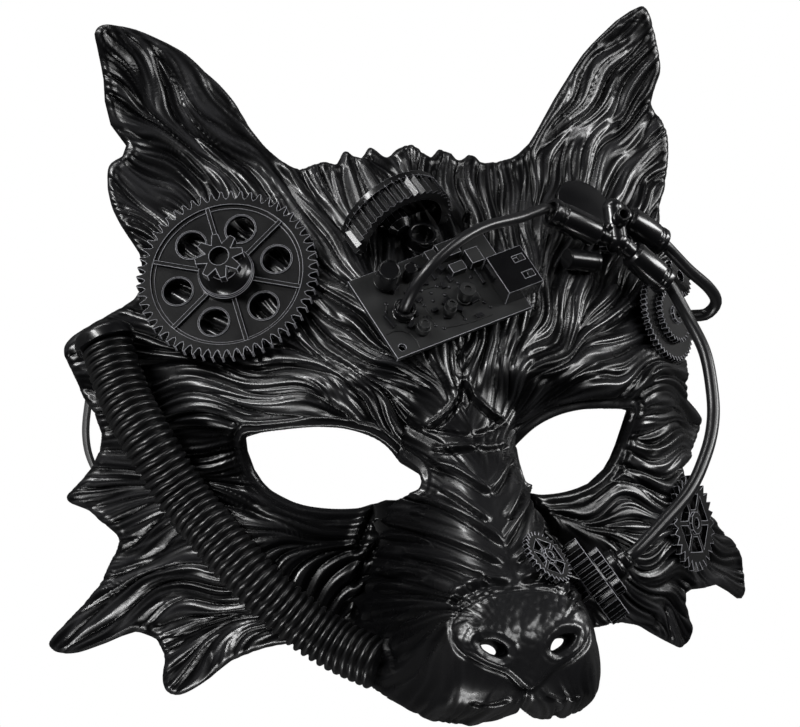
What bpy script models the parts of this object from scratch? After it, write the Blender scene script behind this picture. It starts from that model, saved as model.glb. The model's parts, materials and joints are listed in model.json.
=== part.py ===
"""Steampunk wolf mask, lying on its back with the face up.

The frame is in metres. X runs across the face, Y from the chin to the ears and Z up from the floor.
The moulded face is a height field over the outline of the mask, and its tables hold shares of the
named sizes below. Everything mounted on the face is seated on it by looking down on the moulding.
"""
import math

import bmesh
import bpy
import numpy as np
from mathutils import Matrix, Vector
from mathutils.bvhtree import BVHTree
from mathutils.geometry import delaunay_2d_cdt

# Face
HALF_WIDTH = 0.115
EAR_REACH = 0.129
CHIN_REACH = 0.085
FACE_RISE = 0.071
SNOUT_RISE = 0.120
SNOUT_HALF_WIDTH = 0.036
EYE_CENTRE = 0.039
EYE_HALF_WIDTH = 0.023
WALL = 0.0021
SEAT_GAP = 0.0004
JOINT_GAP = 0.0003
LEAST_SLANT = 0.25
FACE_SPACING = 0.0095
EDGE_SPACING = 0.0075

# Big gear on the left of the forehead, its hub and its pinion
BIG_GEAR_PLACE = (-0.528, 0.375)
BIG_GEAR_RADIUS = 0.0278
BIG_GEAR_TEETH = 56
BIG_TOOTH_HEIGHT = 0.0027
BIG_GEAR_THICKNESS = 0.0034
BIG_RIM_BORE = 0.0232
BIG_WEB_THICKNESS = 0.0014
BIG_WEB_LIFT = 0.0006
BIG_HOLE_RADIUS = 0.0044
BIG_HOLE_CIRCLE = 0.0156
BIG_RIB_WIDTH = 0.0013
BIG_RIB_TURN = 35.0
BIG_SPOKES = 6
RIM_SIDES = 24
HUB_RADIUS = 0.0086
HUB_HEIGHT = 0.0125
HUB_NECK_RADIUS = 0.0044
PINION_RADIUS = 0.0074
PINION_TEETH = 8
PINION_TOOTH_HEIGHT = 0.0031
PINION_BORE = 0.0030
PINION_THICKNESS = 0.0032
GEAR_POST_RADIUS = 0.0060

# Toothed cup, which leans forward and is cut to the forehead
CUP_PLACE = (-0.070, 0.452)
CUP_AXIS = (0.32, -0.72, 0.62)
CUP_RADIUS = 0.0172
CUP_TEETH = 42
CUP_TOOTH_HEIGHT = 0.0013
CUP_BORE = 0.0134
CUP_DEPTH = 0.0075
CUP_FLOOR = 0.0013
CUP_LIFT = 0.0030
CUP_KNOB_RADIUS = 0.0040
FERRULE_PLACE = (-0.030, 0.436)
FERRULE_RADIUS = 0.0045
FERRULE_BORE = 0.0034
FERRULE_LENGTH = 0.0050

# Circuit board and what stands on it. Places are shares of the board's half length and half width.
BOARD_PLACE = (-0.018, 0.310)
BOARD_ACROSS = (0.948, 0.297, -0.118)
BOARD_LENGTH = 0.048
BOARD_WIDTH = 0.030
BOARD_THICKNESS = 0.0016
BOARD_SCREW_RADIUS = 0.0012
BOARD_SCREW_PLACE = (-0.86, -0.80)
BOARD_FOOT_RADIUS = 0.0018
BOARD_FOOT_PLACE = 0.80
CONNECTOR_SIZE = (0.0123, 0.0140, 0.0062)
CONNECTOR_PLACE = (0.94, -0.28)
CONNECTOR_WALL = 0.0007
ROUND_COMPONENTS = (
    ("capacitor_large", -0.58, 0.66, 0.0036, 0.0075),
    ("capacitor_small", -0.27, 0.60, 0.0020, 0.0055),
    ("post_left", -0.50, -0.62, 0.0022, 0.0040),
    ("post_right", -0.05, -0.46, 0.0020, 0.0050),
    ("coil", 0.24, -0.30, 0.0024, 0.0055),
)
CHIPS = (
    ("chip_wide", 0.38, 0.80, 0.0066, 0.0052, 0.0030),
    ("chip_narrow", 0.14, 0.76, 0.0034, 0.0050, 0.0026),
    ("chip_middle", 0.37, 0.36, 0.0050, 0.0032, 0.0024),
    ("chip_long", 0.64, 0.44, 0.0044, 0.0052, 0.0034),
)
CABLE_SOCKET_PLACE = (-0.60, -0.12)
CABLE_SOCKET_RADIUS = 0.0034
CABLE_SOCKET_HEIGHT = 0.0034
PEG_PLACE = (0.118, 0.487)
PEG_RADIUS = 0.0013
PEG_HEIGHT = 0.0045

# Fittings over the right eye. Points are shares of HALF_WIDTH, EAR_REACH and FACE_RISE.
BARREL_RADIUS = 0.0046
BARREL_A = ((0.335, 0.499, 0.683), (0.474, 0.441, 0.647))
BARREL_B = ((0.574, 0.474, 0.580), (0.681, 0.411, 0.535))
BARREL_C = ((0.567, 0.391, 0.650), (0.666, 0.314, 0.632))
MANIFOLD_RADIUS = 0.0032
MANIFOLD_STUB = 0.0058
STUB_LENGTH = 0.0028
EYE_TUBE_RADIUS = 0.0026
EYE_TUBE_BORE = 0.0010
EYE_TUBE_LENGTH = 0.0050
DARK_CYLINDER = ((0.375, 0.385), (0.470, 0.372))
DARK_CYLINDER_RADIUS = 0.0033
DISC_PLACE = (0.490, 0.500)
DISC_RADIUS = 0.0100
DISC_HEIGHT = 0.0050

# Gears on the right temple, the cheek and the snout
TEMPLE_PLACE = (0.680, 0.225)
TEMPLE_LARGE_RADIUS = 0.0142
TEMPLE_LARGE_TEETH = 46
TEMPLE_SMALL_RADIUS = 0.0088
TEMPLE_SMALL_TEETH = 30
TEMPLE_BACK_RADIUS = 0.0066
TEMPLE_BACK_TEETH = 24
TEMPLE_BACK_TURN = 62.0
TEMPLE_THICKNESS = 0.0020
CHEEK_PLACE = (0.735, -0.415)
CHEEK_RADIUS = 0.0152
CHEEK_TEETH = 28
CHEEK_TOOTH_HEIGHT = 0.0028
SNOUT_GEAR_PLACE = (0.095, -0.450)
SNOUT_GEAR_RADIUS = 0.0091
SNOUT_GEAR_TEETH = 30
SPOKED_THICKNESS = 0.0018
SPOKE_WIDTH = 0.0015
SMALL_TOOTH_HEIGHT = 0.0013

# Gear stack where the long cable ends, on the right wall of the snout. Its place is in shares of
# SNOUT_HALF_WIDTH, of CHIN_REACH and of SNOUT_RISE
STACK_PLACE = (1.009, -0.556, 0.639)
STACK_AXIS = (0.80, 0.54, 0.25)
FLUTED_RADIUS = 0.0140
FLUTED_TEETH = 34
FLUTED_TOOTH_HEIGHT = 0.0013
FLUTED_LENGTH = 0.0060
NARROW_RADIUS = 0.0080
NARROW_TEETH = 20
NARROW_LENGTH = 0.0033
STACK_COLLAR_RADIUS = 0.0052
STACK_COLLAR_LENGTH = 0.0030
STACK_SLEEVE_RADIUS = 0.0034
STACK_SLEEVE_LENGTH = 0.0030
STACK_BOSS_RADIUS = 0.0036

# Cables and their routes, as shares of HALF_WIDTH, of EAR_REACH or CHIN_REACH and of FACE_RISE
FOREHEAD_CABLE_RADIUS = 0.0017
FOREHEAD_CABLE_ROUTE = (
    (-0.114, 0.342, 1.014), (-0.062, 0.397, 1.042), (0.015, 0.443, 1.014), (0.103, 0.471, 0.930),
    (0.218, 0.487, 0.817),
)
LONG_CABLE_RADIUS = 0.0020
LONG_CABLE_ROUTE = (
    (0.717, 0.227, 0.662), (0.743, 0.144, 0.732), (0.741, 0.052, 0.803), (0.725, -0.032, 0.859),
    (0.683, -0.142, 0.930), (0.610, -0.266, 1.014), (0.510, -0.372, 1.085),
)
LOOP_TUBE_RADIUS = 0.0019
LOOP_TUBE_ROUTE = (
    (0.771, 0.344, 0.465), (0.847, 0.295, 0.394), (0.883, 0.259, 0.324), (0.866, 0.231, 0.275),
    (0.822, 0.228, 0.262),
)
HOSE_RADIUS = 0.0080
HOSE_DEPTH = 0.0011
HOSE_RIBS = 46
HOSE_SIDES = 8
HOSE_ROUTE = (
    (-0.850, 0.240, 0.400), (-0.826, 0.124, 0.500), (-0.780, 0.010, 0.600), (-0.712, -0.165, 0.650),
    (-0.642, -0.315, 0.740), (-0.560, -0.475, 0.830), (-0.465, -0.610, 0.880), (-0.375, -0.710, 0.940),
    (-0.275, -0.790, 1.060),
)
HOOD_RADIUS = 0.0093
HOOD_HEIGHT = 0.0062

# Head strap and its tabs, which lie between the face and the floor
STRAP_WIDTH = 0.006
STRAP_THICKNESS = 0.001
TAB_SIZE = (0.0024, 0.010)
TAB_LEFT = (-0.815, 0.245)
TAB_RIGHT = (0.745, 0.245)
STRAP_ROUTE = (
    (-0.868, 0.030), (-0.835, -0.120), (-0.740, -0.310), (-0.420, -0.520), (0.000, -0.590),
    (0.420, -0.520), (0.700, -0.310), (0.770, -0.050),
)

# Shares of HALF_WIDTH at which the rows below hold their heights
HEAD_ACROSS = (0.0, 0.17, 0.35, 0.54, 0.71, 0.87, 1.0)

# Each row holds a place along the face, as a share of EAR_REACH above the eyes or of CHIN_REACH
# below them, and seven heights across it, as shares of FACE_RISE
HEAD_ROWS = (
    (-1.12, (0.59, 0.59, 0.54, 0.45, 0.34, 0.20, 0.05)),
    (-0.88, (0.70, 0.70, 0.65, 0.55, 0.41, 0.23, 0.05)),
    (-0.70, (0.82, 0.80, 0.73, 0.62, 0.46, 0.25, 0.04)),
    (-0.47, (0.90, 0.86, 0.77, 0.65, 0.47, 0.22, 0.02)),
    (-0.24, (0.95, 0.90, 0.80, 0.66, 0.46, 0.18, 0.02)),
    (-0.06, (0.98, 0.93, 0.82, 0.68, 0.46, 0.16, 0.00)),
    (0.08, (1.00, 0.96, 0.86, 0.70, 0.47, 0.16, 0.00)),
    (0.19, (0.94, 0.91, 0.81, 0.65, 0.44, 0.16, 0.01)),
    (0.35, (0.79, 0.76, 0.68, 0.55, 0.38, 0.16, 0.03)),
    (0.50, (0.56, 0.55, 0.49, 0.41, 0.30, 0.15, 0.06)),
    (0.66, (0.30, 0.30, 0.28, 0.27, 0.21, 0.13, 0.07)),
    (0.81, (0.18, 0.18, 0.18, 0.17, 0.13, 0.09, 0.06)),
    (1.01, (0.09, 0.09, 0.09, 0.08, 0.07, 0.05, 0.04)),
)

# Each row of the snout holds its place along the face, its height as a share of SNOUT_RISE, its half
# width as a share of SNOUT_HALF_WIDTH and how square its section is: 2 is round, 6 is nearly a box
SNOUT_ROWS = (
    (-1.06, 0.62, 0.88, 4.5),
    (-1.00, 0.80, 0.93, 5.0),
    (-0.965, 0.885, 0.95, 5.5),
    (-0.93, 0.94, 0.97, 6.0),
    (-0.87, 0.975, 0.98, 6.0),
    (-0.77, 0.995, 0.98, 5.5),
    (-0.65, 0.99, 0.93, 4.5),
    (-0.54, 0.935, 0.84, 4.0),
    (-0.39, 0.855, 0.70, 3.4),
    (-0.18, 0.755, 0.55, 3.0),
    (-0.02, 0.655, 0.48, 3.0),
    (0.08, 0.600, 0.46, 3.0),
    (0.19, 0.520, 0.46, 3.0),
    (0.30, 0.380, 0.46, 3.0),
    (0.45, 0.100, 0.46, 3.0),
    (0.60, 0.000, 0.46, 3.0),
)

# Each swelling or hollow holds its centre, its length and breadth as shares of HALF_WIDTH, its turn
# in degrees and its height as a share of FACE_RISE. All of them lie on both sides of the face.
SWELLINGS = (
    ("brow", 0.33, 0.13, 0.22, 0.055, -12.0, 0.085),
    ("eye socket", 0.34, -0.10, 0.185, 0.085, 10.0, -0.115),
    ("eye inner corner", 0.17, -0.16, 0.05, 0.06, 30.0, -0.09),
    ("cheekbone", 0.55, -0.40, 0.16, 0.09, 25.0, 0.06),
    ("ear hollow", 0.62, 0.76, 0.20, 0.095, 58.0, -0.085),
    ("brow end", 0.66, 0.10, 0.07, 0.06, 0.0, 0.05),
)

# Outline of the left half, from the top of the head by the ear, the tufts and the muzzle to the chin
LEFT_EDGE = (
    (0.00, 0.672), (-0.04, 0.655), (-0.075, 0.680), (-0.11, 0.655), (-0.15, 0.672),
    (-0.18, 0.645), (-0.22, 0.650), (-0.28, 0.635), (-0.325, 0.655), (-0.36, 0.69),
    (-0.40, 0.745), (-0.425, 0.795), (-0.46, 0.840), (-0.50, 0.880), (-0.55, 0.925),
    (-0.61, 0.958), (-0.665, 0.982), (-0.715, 0.995), (-0.76, 1.00), (-0.783, 0.98),
    (-0.775, 0.93), (-0.765, 0.87), (-0.765, 0.82), (-0.755, 0.765), (-0.72, 0.715),
    (-0.735, 0.690), (-0.778, 0.665), (-0.79, 0.62), (-0.785, 0.56), (-0.76, 0.50),
    (-0.735, 0.45), (-0.735, 0.40), (-0.76, 0.345), (-0.80, 0.322), (-0.86, 0.290),
    (-0.91, 0.258), (-0.925, 0.225), (-0.91, 0.185), (-0.89, 0.13), (-0.862, 0.075),
    (-0.852, 0.02), (-0.868, -0.05), (-0.90, -0.115), (-0.935, -0.165), (-0.93, -0.195),
    (-0.89, -0.225), (-0.865, -0.265), (-0.83, -0.325), (-0.85, -0.40), (-0.875, -0.475),
    (-0.92, -0.56), (-0.97, -0.635), (-1.00, -0.695), (-0.985, -0.73), (-0.94, -0.732),
    (-0.88, -0.70), (-0.81, -0.66), (-0.765, -0.69), (-0.745, -0.76), (-0.75, -0.83),
    (-0.735, -0.885), (-0.70, -0.89), (-0.645, -0.845), (-0.585, -0.775), (-0.51, -0.735),
    (-0.43, -0.725), (-0.36, -0.76), (-0.31, -0.82), (-0.275, -0.90), (-0.235, -0.95),
    (-0.175, -0.985), (-0.11, -1.00), (-0.05, -0.985),
)

# Outline of the right half, from the chin up to the top of the head
RIGHT_EDGE = (
    (0.00, -0.955), (0.05, -0.985), (0.11, -1.00), (0.175, -0.99), (0.23, -0.965),
    (0.275, -0.92), (0.31, -0.85), (0.345, -0.785), (0.40, -0.758), (0.47, -0.748),
    (0.54, -0.765), (0.60, -0.805), (0.66, -0.845), (0.71, -0.875), (0.745, -0.855),
    (0.755, -0.80), (0.735, -0.745), (0.722, -0.695), (0.745, -0.665), (0.81, -0.665),
    (0.88, -0.665), (0.935, -0.70), (0.98, -0.735), (1.00, -0.715), (1.00, -0.645),
    (0.99, -0.58), (0.95, -0.505), (0.90, -0.455), (0.85, -0.37), (0.79, -0.285),
    (0.745, -0.225), (0.785, -0.185), (0.825, -0.125), (0.86, -0.08), (0.86, -0.03),
    (0.815, 0.012), (0.775, 0.035), (0.785, 0.075), (0.785, 0.115), (0.785, 0.17),
    (0.795, 0.25), (0.785, 0.32), (0.76, 0.385), (0.74, 0.45), (0.755, 0.50),
    (0.785, 0.555), (0.805, 0.61), (0.815, 0.665), (0.805, 0.71), (0.78, 0.755),
    (0.80, 0.80), (0.82, 0.84), (0.818, 0.89), (0.81, 0.935), (0.80, 0.975),
    (0.78, 0.998), (0.745, 0.988), (0.70, 0.965), (0.65, 0.93), (0.59, 0.885),
    (0.53, 0.825), (0.48, 0.775), (0.43, 0.72), (0.385, 0.675), (0.335, 0.645),
    (0.28, 0.632), (0.235, 0.630), (0.20, 0.650), (0.165, 0.640), (0.12, 0.668),
    (0.085, 0.650), (0.045, 0.680),
)

# Edge of an eye hole, as shares of EYE_HALF_WIDTH from the eye's centre, outward and up
EYE_EDGE = (
    (0.98, 0.04), (0.80, 0.10), (0.48, 0.13), (0.12, 0.14), (-0.20, 0.10), (-0.50, 0.00),
    (-0.72, -0.14), (-0.90, -0.34), (-1.00, -0.52), (-0.96, -0.70), (-0.80, -0.85),
    (-0.55, -0.92), (-0.25, -0.93), (0.05, -0.90), (0.35, -0.82), (0.62, -0.66), (0.84, -0.38),
)

# Edge of a nostril, as shares of NOSTRIL_HALF_WIDTH
NOSTRIL_HALF_WIDTH = 0.0040
NOSTRIL_CENTRE = (0.0105, -0.0605)
NOSTRIL_EDGE = (
    (1.00, 0.45), (0.45, 0.62), (-0.25, 0.50), (-0.85, 0.05), (-1.00, -0.50), (-0.50, -0.75),
    (0.25, -0.45), (0.80, -0.05),
)

# Finish of each piece: its colour as linear red, green and blue, its roughness and how metallic it is
BLACK_PLASTIC = ((0.012, 0.012, 0.013), 0.24, 0.0)
GEAR_PLASTIC = ((0.020, 0.020, 0.022), 0.30, 0.0)
DARK_METAL = ((0.060, 0.062, 0.068), 0.28, 1.0)
CABLE_RUBBER = ((0.030, 0.030, 0.032), 0.34, 0.0)
BOARD_LACQUER = ((0.016, 0.018, 0.018), 0.30, 0.0)
STRAP_CLOTH = ((0.014, 0.014, 0.015), 0.85, 0.0)
FINISHES = (
    (BLACK_PLASTIC, ("mask_shell", "hose_hood", "domed_disc", "dark_cylinder", "strap_tab_left",
                     "strap_tab_right", "manifold_post", "stack_boss", "big_gear_post",
                     "board_foot_left", "board_foot_right")),
    (GEAR_PLASTIC, ("big_gear", "pinion", "cup_gear", "temple_gear_large", "temple_gear_small",
                    "temple_gear_back", "cheek_gear", "snout_gear", "fluted_gear", "narrow_gear")),
    (DARK_METAL, ("box_connector", "barrel_a", "barrel_b", "barrel_c", "manifold", "eye_tube",
                  "ferrule", "cable_socket", "peg", "capacitor_large", "capacitor_small",
                  "stack_collar", "stack_sleeve")),
    (CABLE_RUBBER, ("breathing_hose", "forehead_cable", "long_cable", "loop_tube")),
    (BOARD_LACQUER, ("circuit_board", "chip_wide", "chip_narrow", "chip_middle", "chip_long",
                     "post_left", "post_right", "coil")),
    (STRAP_CLOTH, ("elastic_strap",)),
)
SMOOTH_BELOW = 48.0


def along(share):
    """Place along the face: a share of EAR_REACH above the eyes, of CHIN_REACH below them."""
    share = np.asarray(share, dtype=float)
    return np.where(share > 0.0, share * EAR_REACH, share * CHIN_REACH)


def smooth_rows(places, rows, at):
    """Value at each place of a smooth curve through the rows, held constant past both ends."""
    places = np.asarray(places, dtype=float)
    rows = np.asarray(rows, dtype=float)
    slopes = np.gradient(rows, places, axis=0)
    at = np.clip(at, places[0], places[-1])
    index = np.clip(np.searchsorted(places, at, side="right") - 1, 0, len(places) - 2)
    step = places[index + 1] - places[index]
    t = (at - places[index]) / step
    if rows.ndim == 2:
        step, t = step[:, None], t[:, None]
    return ((2 * t**3 - 3 * t**2 + 1) * rows[index] + (t**3 - 2 * t**2 + t) * step * slopes[index]
            + (3 * t**2 - 2 * t**3) * rows[index + 1] + (t**3 - t**2) * step * slopes[index + 1])


def head_height(x, y):
    """Height of the plain face without its snout."""
    places = along([row[0] for row in HEAD_ROWS])
    table = np.array([row[1] for row in HEAD_ROWS]) * FACE_RISE
    at_y = smooth_rows(places, table, y)
    across = np.array(HEAD_ACROSS) * HALF_WIDTH
    slopes = np.gradient(at_y, across, axis=1)
    slopes[:, 0] = 0.0
    x = np.clip(np.abs(x), across[0], across[-1])
    column = np.clip(np.searchsorted(across, x, side="right") - 1, 0, len(across) - 2)
    pick = np.arange(len(x))
    step = across[column + 1] - across[column]
    t = (x - across[column]) / step
    return ((2 * t**3 - 3 * t**2 + 1) * at_y[pick, column]
            + (t**3 - 2 * t**2 + t) * step * slopes[pick, column]
            + (3 * t**2 - 2 * t**3) * at_y[pick, column + 1]
            + (t**3 - t**2) * step * slopes[pick, column + 1])


def snout_height(x, y):
    """Height of the snout, or a place below the floor outside it."""
    places = along([row[0] for row in SNOUT_ROWS])
    top = smooth_rows(places, np.array([row[1] for row in SNOUT_ROWS]) * SNOUT_RISE, y)
    half = smooth_rows(places, np.array([row[2] for row in SNOUT_ROWS]) * SNOUT_HALF_WIDTH, y)
    foot = head_height(half, y) - WALL
    share = np.clip(np.abs(x) / half, 0.0, 1.0)
    arch = 1.0 - share ** smooth_rows(places, [row[3] for row in SNOUT_ROWS], y)
    return np.where(share < 1.0, foot + (top - foot) * arch, -FACE_RISE)


def swelling(x, y, centre_x, centre_y, length, breadth, turn):
    """A rounded bump of height one, on both sides of the face."""
    angle = math.radians(turn)
    across = np.abs(x) - centre_x * HALF_WIDTH
    up = y - centre_y * HALF_WIDTH
    u = (across * math.cos(angle) + up * math.sin(angle)) / (length * HALF_WIDTH)
    v = (up * math.cos(angle) - across * math.sin(angle)) / (breadth * HALF_WIDTH)
    return np.exp(-0.5 * (u * u + v * v))


def blend_max(first, second, reach):
    """The higher of two heights, with a rounded corner where they cross."""
    h = np.clip(0.5 + 0.5 * (first - second) / reach, 0.0, 1.0)
    return second * (1.0 - h) + first * h + reach * h * (1.0 - h)


def face_height(x, y):
    """Height of the moulding's outer face over the floor."""
    x = np.atleast_1d(np.asarray(x, dtype=float))
    y = np.atleast_1d(np.asarray(y, dtype=float))
    z = head_height(x, y)
    for _, centre_x, centre_y, length, breadth, turn, rise in SWELLINGS:
        z = z + rise * FACE_RISE * swelling(x, y, centre_x, centre_y, length, breadth, turn)
    return blend_max(z, snout_height(x, y), SNOUT_HALF_WIDTH * 0.13)


def between(points, spacing):
    """Points of a smooth closed curve through the given ones, no further apart than the spacing."""
    points = np.asarray(points, dtype=float)
    before, after, beyond = np.roll(points, 1, 0), np.roll(points, -1, 0), np.roll(points, -2, 0)
    fine = []
    for a, b, c, d in zip(before, points, after, beyond):
        count = max(1, math.ceil(np.linalg.norm(c - b) / spacing))
        for step in range(count):
            t = step / count
            fine.append(0.5 * (2 * b + (c - a) * t + (2 * a - 5 * b + 4 * c - d) * t**2
                               + (3 * b - a - 3 * c + d) * t**3))
    return np.array(fine)


def outline_points():
    """Outer edge of the mask, counter-clockwise seen from above."""
    shares = np.array(LEFT_EDGE + RIGHT_EDGE)
    return np.column_stack((shares[:, 0] * HALF_WIDTH, along(shares[:, 1])))


def eye_points(side):
    """Edge of one eye hole: side is -1 on the left and 1 on the right."""
    shares = np.array(EYE_EDGE) * EYE_HALF_WIDTH
    return np.column_stack((side * (EYE_CENTRE + shares[:, 0]), shares[:, 1]))


def nostril_points(side):
    """Edge of one nostril."""
    shares = np.array(NOSTRIL_EDGE) * NOSTRIL_HALF_WIDTH
    centre = (NOSTRIL_CENTRE[0] + shares[:, 0], NOSTRIL_CENTRE[1] + shares[:, 1])
    return np.column_stack((side * centre[0], centre[1]))


def inside(points, loop):
    """Which of the points lie inside a closed loop."""
    x, y = points[:, 0], points[:, 1]
    found = np.zeros(len(points), dtype=bool)
    for (ax, ay), (bx, by) in zip(loop, np.roll(loop, -1, 0)):
        crosses = (ay > y) != (by > y)
        reach = ax + (y - ay) * (bx - ax) / (by - ay if by != ay else 1e-12)
        found ^= crosses & (x < reach)
    return found


def scatter(loops, spacing):
    """Points between the loops, spaced evenly over the curved face."""
    outer = loops[0]
    low, high = outer.min(axis=0), outer.max(axis=0)
    step = spacing / 10
    across, up = np.meshgrid(np.arange(low[0], high[0], step), np.arange(low[1], high[1], step))
    grid = np.column_stack((across.ravel(), up.ravel()))
    grid = grid[inside(grid, outer)]
    for hole in loops[1:]:
        grid = grid[~inside(grid, hole)]
    edge = np.vstack(loops)
    kept = np.column_stack((edge, face_height(edge[:, 0], edge[:, 1])))
    waiting = np.column_stack((grid, face_height(grid[:, 0], grid[:, 1])))
    for point in kept:
        waiting = waiting[np.linalg.norm(waiting - point, axis=1) > spacing * 0.72]
    chosen = []
    while len(waiting):
        point = waiting[0]
        chosen.append(point[:2])
        waiting = waiting[np.linalg.norm(waiting - point, axis=1) > spacing * 0.86]
    return np.array(chosen)


def face_normals(points):
    """Directions square to the outer face."""
    reach = WALL * 0.25
    x, y = points[:, 0], points[:, 1]
    slope_x = (face_height(x + reach, y) - face_height(x - reach, y)) / (2 * reach)
    slope_y = (face_height(x, y + reach) - face_height(x, y - reach)) / (2 * reach)
    normals = np.column_stack((-slope_x, -slope_y, np.ones(len(x))))
    return normals / np.linalg.norm(normals, axis=1)[:, None]


def mask_shell():
    """The hollow moulded face with its holes, and the same face filled down past the floor."""
    loops = [between(outline_points(), EDGE_SPACING)]
    loops += [between(eye_points(side), EDGE_SPACING) for side in (-1, 1)]
    loops += [nostril_points(side) for side in (-1, 1)]
    flat = np.vstack(loops + [scatter(loops, FACE_SPACING)])
    edges, start = [], 0
    for loop in loops:
        count = len(loop)
        edges += [(start + i, start + (i + 1) % count) for i in range(count)]
        start += count
    result = delaunay_2d_cdt([Vector(point) for point in flat], edges, [], 0, 1e-7)
    places = np.array([tuple(place) for place in result[0]])
    triangles = [tuple(face) for face in result[2]]
    centres = np.array([places[list(face)].mean(axis=0) for face in triangles])
    keep = inside(centres, loops[0])
    for hole in loops[1:]:
        keep &= ~inside(centres, hole)
    triangles = [face for face, wanted in zip(triangles, keep) if wanted]
    outer = np.column_stack((places, face_height(places[:, 0], places[:, 1])))
    inner = outer - face_normals(outer) * WALL
    outer[:, 2] = np.maximum(outer[:, 2], WALL)
    inner[:, 2] = np.clip(inner[:, 2], 0.0, outer[:, 2] - WALL * 0.5)
    shell = closed_wall("mask_shell", outer, inner, triangles)
    above = outer + face_normals(outer) * SEAT_GAP
    below = np.column_stack((outer[:, :2], np.full(len(outer), -FACE_RISE)))
    return shell, closed_wall("filled_face", above, below, triangles)


def closed_wall(name, outer, inner, triangles):
    """One closed solid from two skins over the same triangles."""
    shape = bmesh.new()
    top = [shape.verts.new(point) for point in outer]
    bottom = [shape.verts.new(point) for point in inner]
    for a, b, c in triangles:
        shape.faces.new((top[a], top[b], top[c]))
        shape.faces.new((bottom[c], bottom[b], bottom[a]))
    used = {}
    for face in triangles:
        for a, b in zip(face, face[1:] + face[:1]):
            used[(a, b)] = used.get((a, b), 0) + 1
    for a, b in used:
        if (b, a) not in used:
            shape.faces.new((top[b], top[a], bottom[a], bottom[b]))
    loose = [vert for vert in shape.verts if not vert.link_faces]
    bmesh.ops.delete(shape, geom=loose, context="VERTS")
    return new_object(name, shape)


def new_object(name, shape, placement=None):
    """A named object from a bmesh, placed by its matrix."""
    bmesh.ops.recalc_face_normals(shape, faces=shape.faces)
    mesh = bpy.data.meshes.new(name)
    shape.to_mesh(mesh)
    shape.free()
    thing = bpy.data.objects.new(name, mesh)
    bpy.context.collection.objects.link(thing)
    if placement is not None:
        thing.matrix_world = placement
    return thing


def merged(name, shapes, placement=None):
    """One solid from overlapping bmesh shapes, joined by exact Booleans."""
    first = new_object(name, shapes[0], placement)
    for index, shape in enumerate(shapes[1:]):
        tool = new_object(f"{name}_part_{index}", shape, placement)
        cut(first, tool, "UNION")
    return first


def cut(target, tool, operation="DIFFERENCE"):
    """Apply one exact Boolean to an object and remove the tool."""
    bpy.context.view_layer.update()
    change = target.modifiers.new("joint", "BOOLEAN")
    change.operation = operation
    change.object = tool
    change.solver = "EXACT"
    graph = bpy.context.evaluated_depsgraph_get()
    mesh = bpy.data.meshes.new_from_object(target.evaluated_get(graph))
    target.modifiers.remove(change)
    mesh.name = target.name
    target.data = mesh
    bpy.data.objects.remove(tool)


def turned(profile, sides, start=0.0):
    """A solid turned round Z from rows of radius and height; a radius of zero closes an end."""
    shape = bmesh.new()
    rings = []
    for radius, height in profile:
        if radius <= 0.0:
            rings.append([shape.verts.new((0.0, 0.0, height))])
            continue
        turn = [start + 2 * math.pi * side / sides for side in range(sides)]
        rings.append([shape.verts.new((radius * math.cos(a), radius * math.sin(a), height))
                      for a in turn])
    closed = profile[0][0] > 0.0 and profile[0] == profile[-1]
    if closed:
        bmesh.ops.delete(shape, geom=rings.pop(), context="VERTS")
        rings.append(rings[0])
    for lower, upper in zip(rings, rings[1:]):
        for side in range(sides):
            corners = [lower[side % len(lower)], lower[(side + 1) % len(lower)],
                       upper[(side + 1) % len(upper)], upper[side % len(upper)]]
            shape.faces.new(list(dict.fromkeys(corners)))
    for ring in (rings[0], rings[-1]):
        if not closed and len(ring) > 1:
            shape.faces.new(ring)
    return shape


def circle(radius, sides, centre=(0.0, 0.0), start=0.0):
    """Points of a circle in the plane."""
    turn = start + 2 * math.pi * np.arange(sides) / sides
    return np.column_stack((centre[0] + radius * np.cos(turn), centre[1] + radius * np.sin(turn)))


def gear_outline(teeth, tip_radius, tooth_height, tip_share=0.0):
    """Outline of a toothed wheel: its teeth are pointed, or flat over the share of their pitch."""
    corners = [(tip_radius - tooth_height, -0.5)]
    corners += [(tip_radius, share) for share in sorted({-tip_share, tip_share})]
    points = []
    for tooth in range(teeth):
        for radius, share in corners:
            angle = 2 * math.pi * (tooth + share) / teeth
            points.append((radius * math.cos(angle), radius * math.sin(angle)))
    return np.array(points)


def spoke_windows(spokes, hub_radius, rim_radius, spoke_width):
    """The openings between the spokes of a wheel."""
    windows = []
    for spoke in range(spokes):
        window = []
        for radius, direction in ((hub_radius, 1), (rim_radius, -1)):
            lean = spoke_width / 2 / radius
            low = 2 * math.pi * spoke / spokes + lean
            high = 2 * math.pi * (spoke + 1) / spokes - lean
            angles = np.array((low, high))[::direction]
            window += [(radius * math.cos(a), radius * math.sin(a)) for a in angles]
        windows.append(np.array(window))
    return windows


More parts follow.
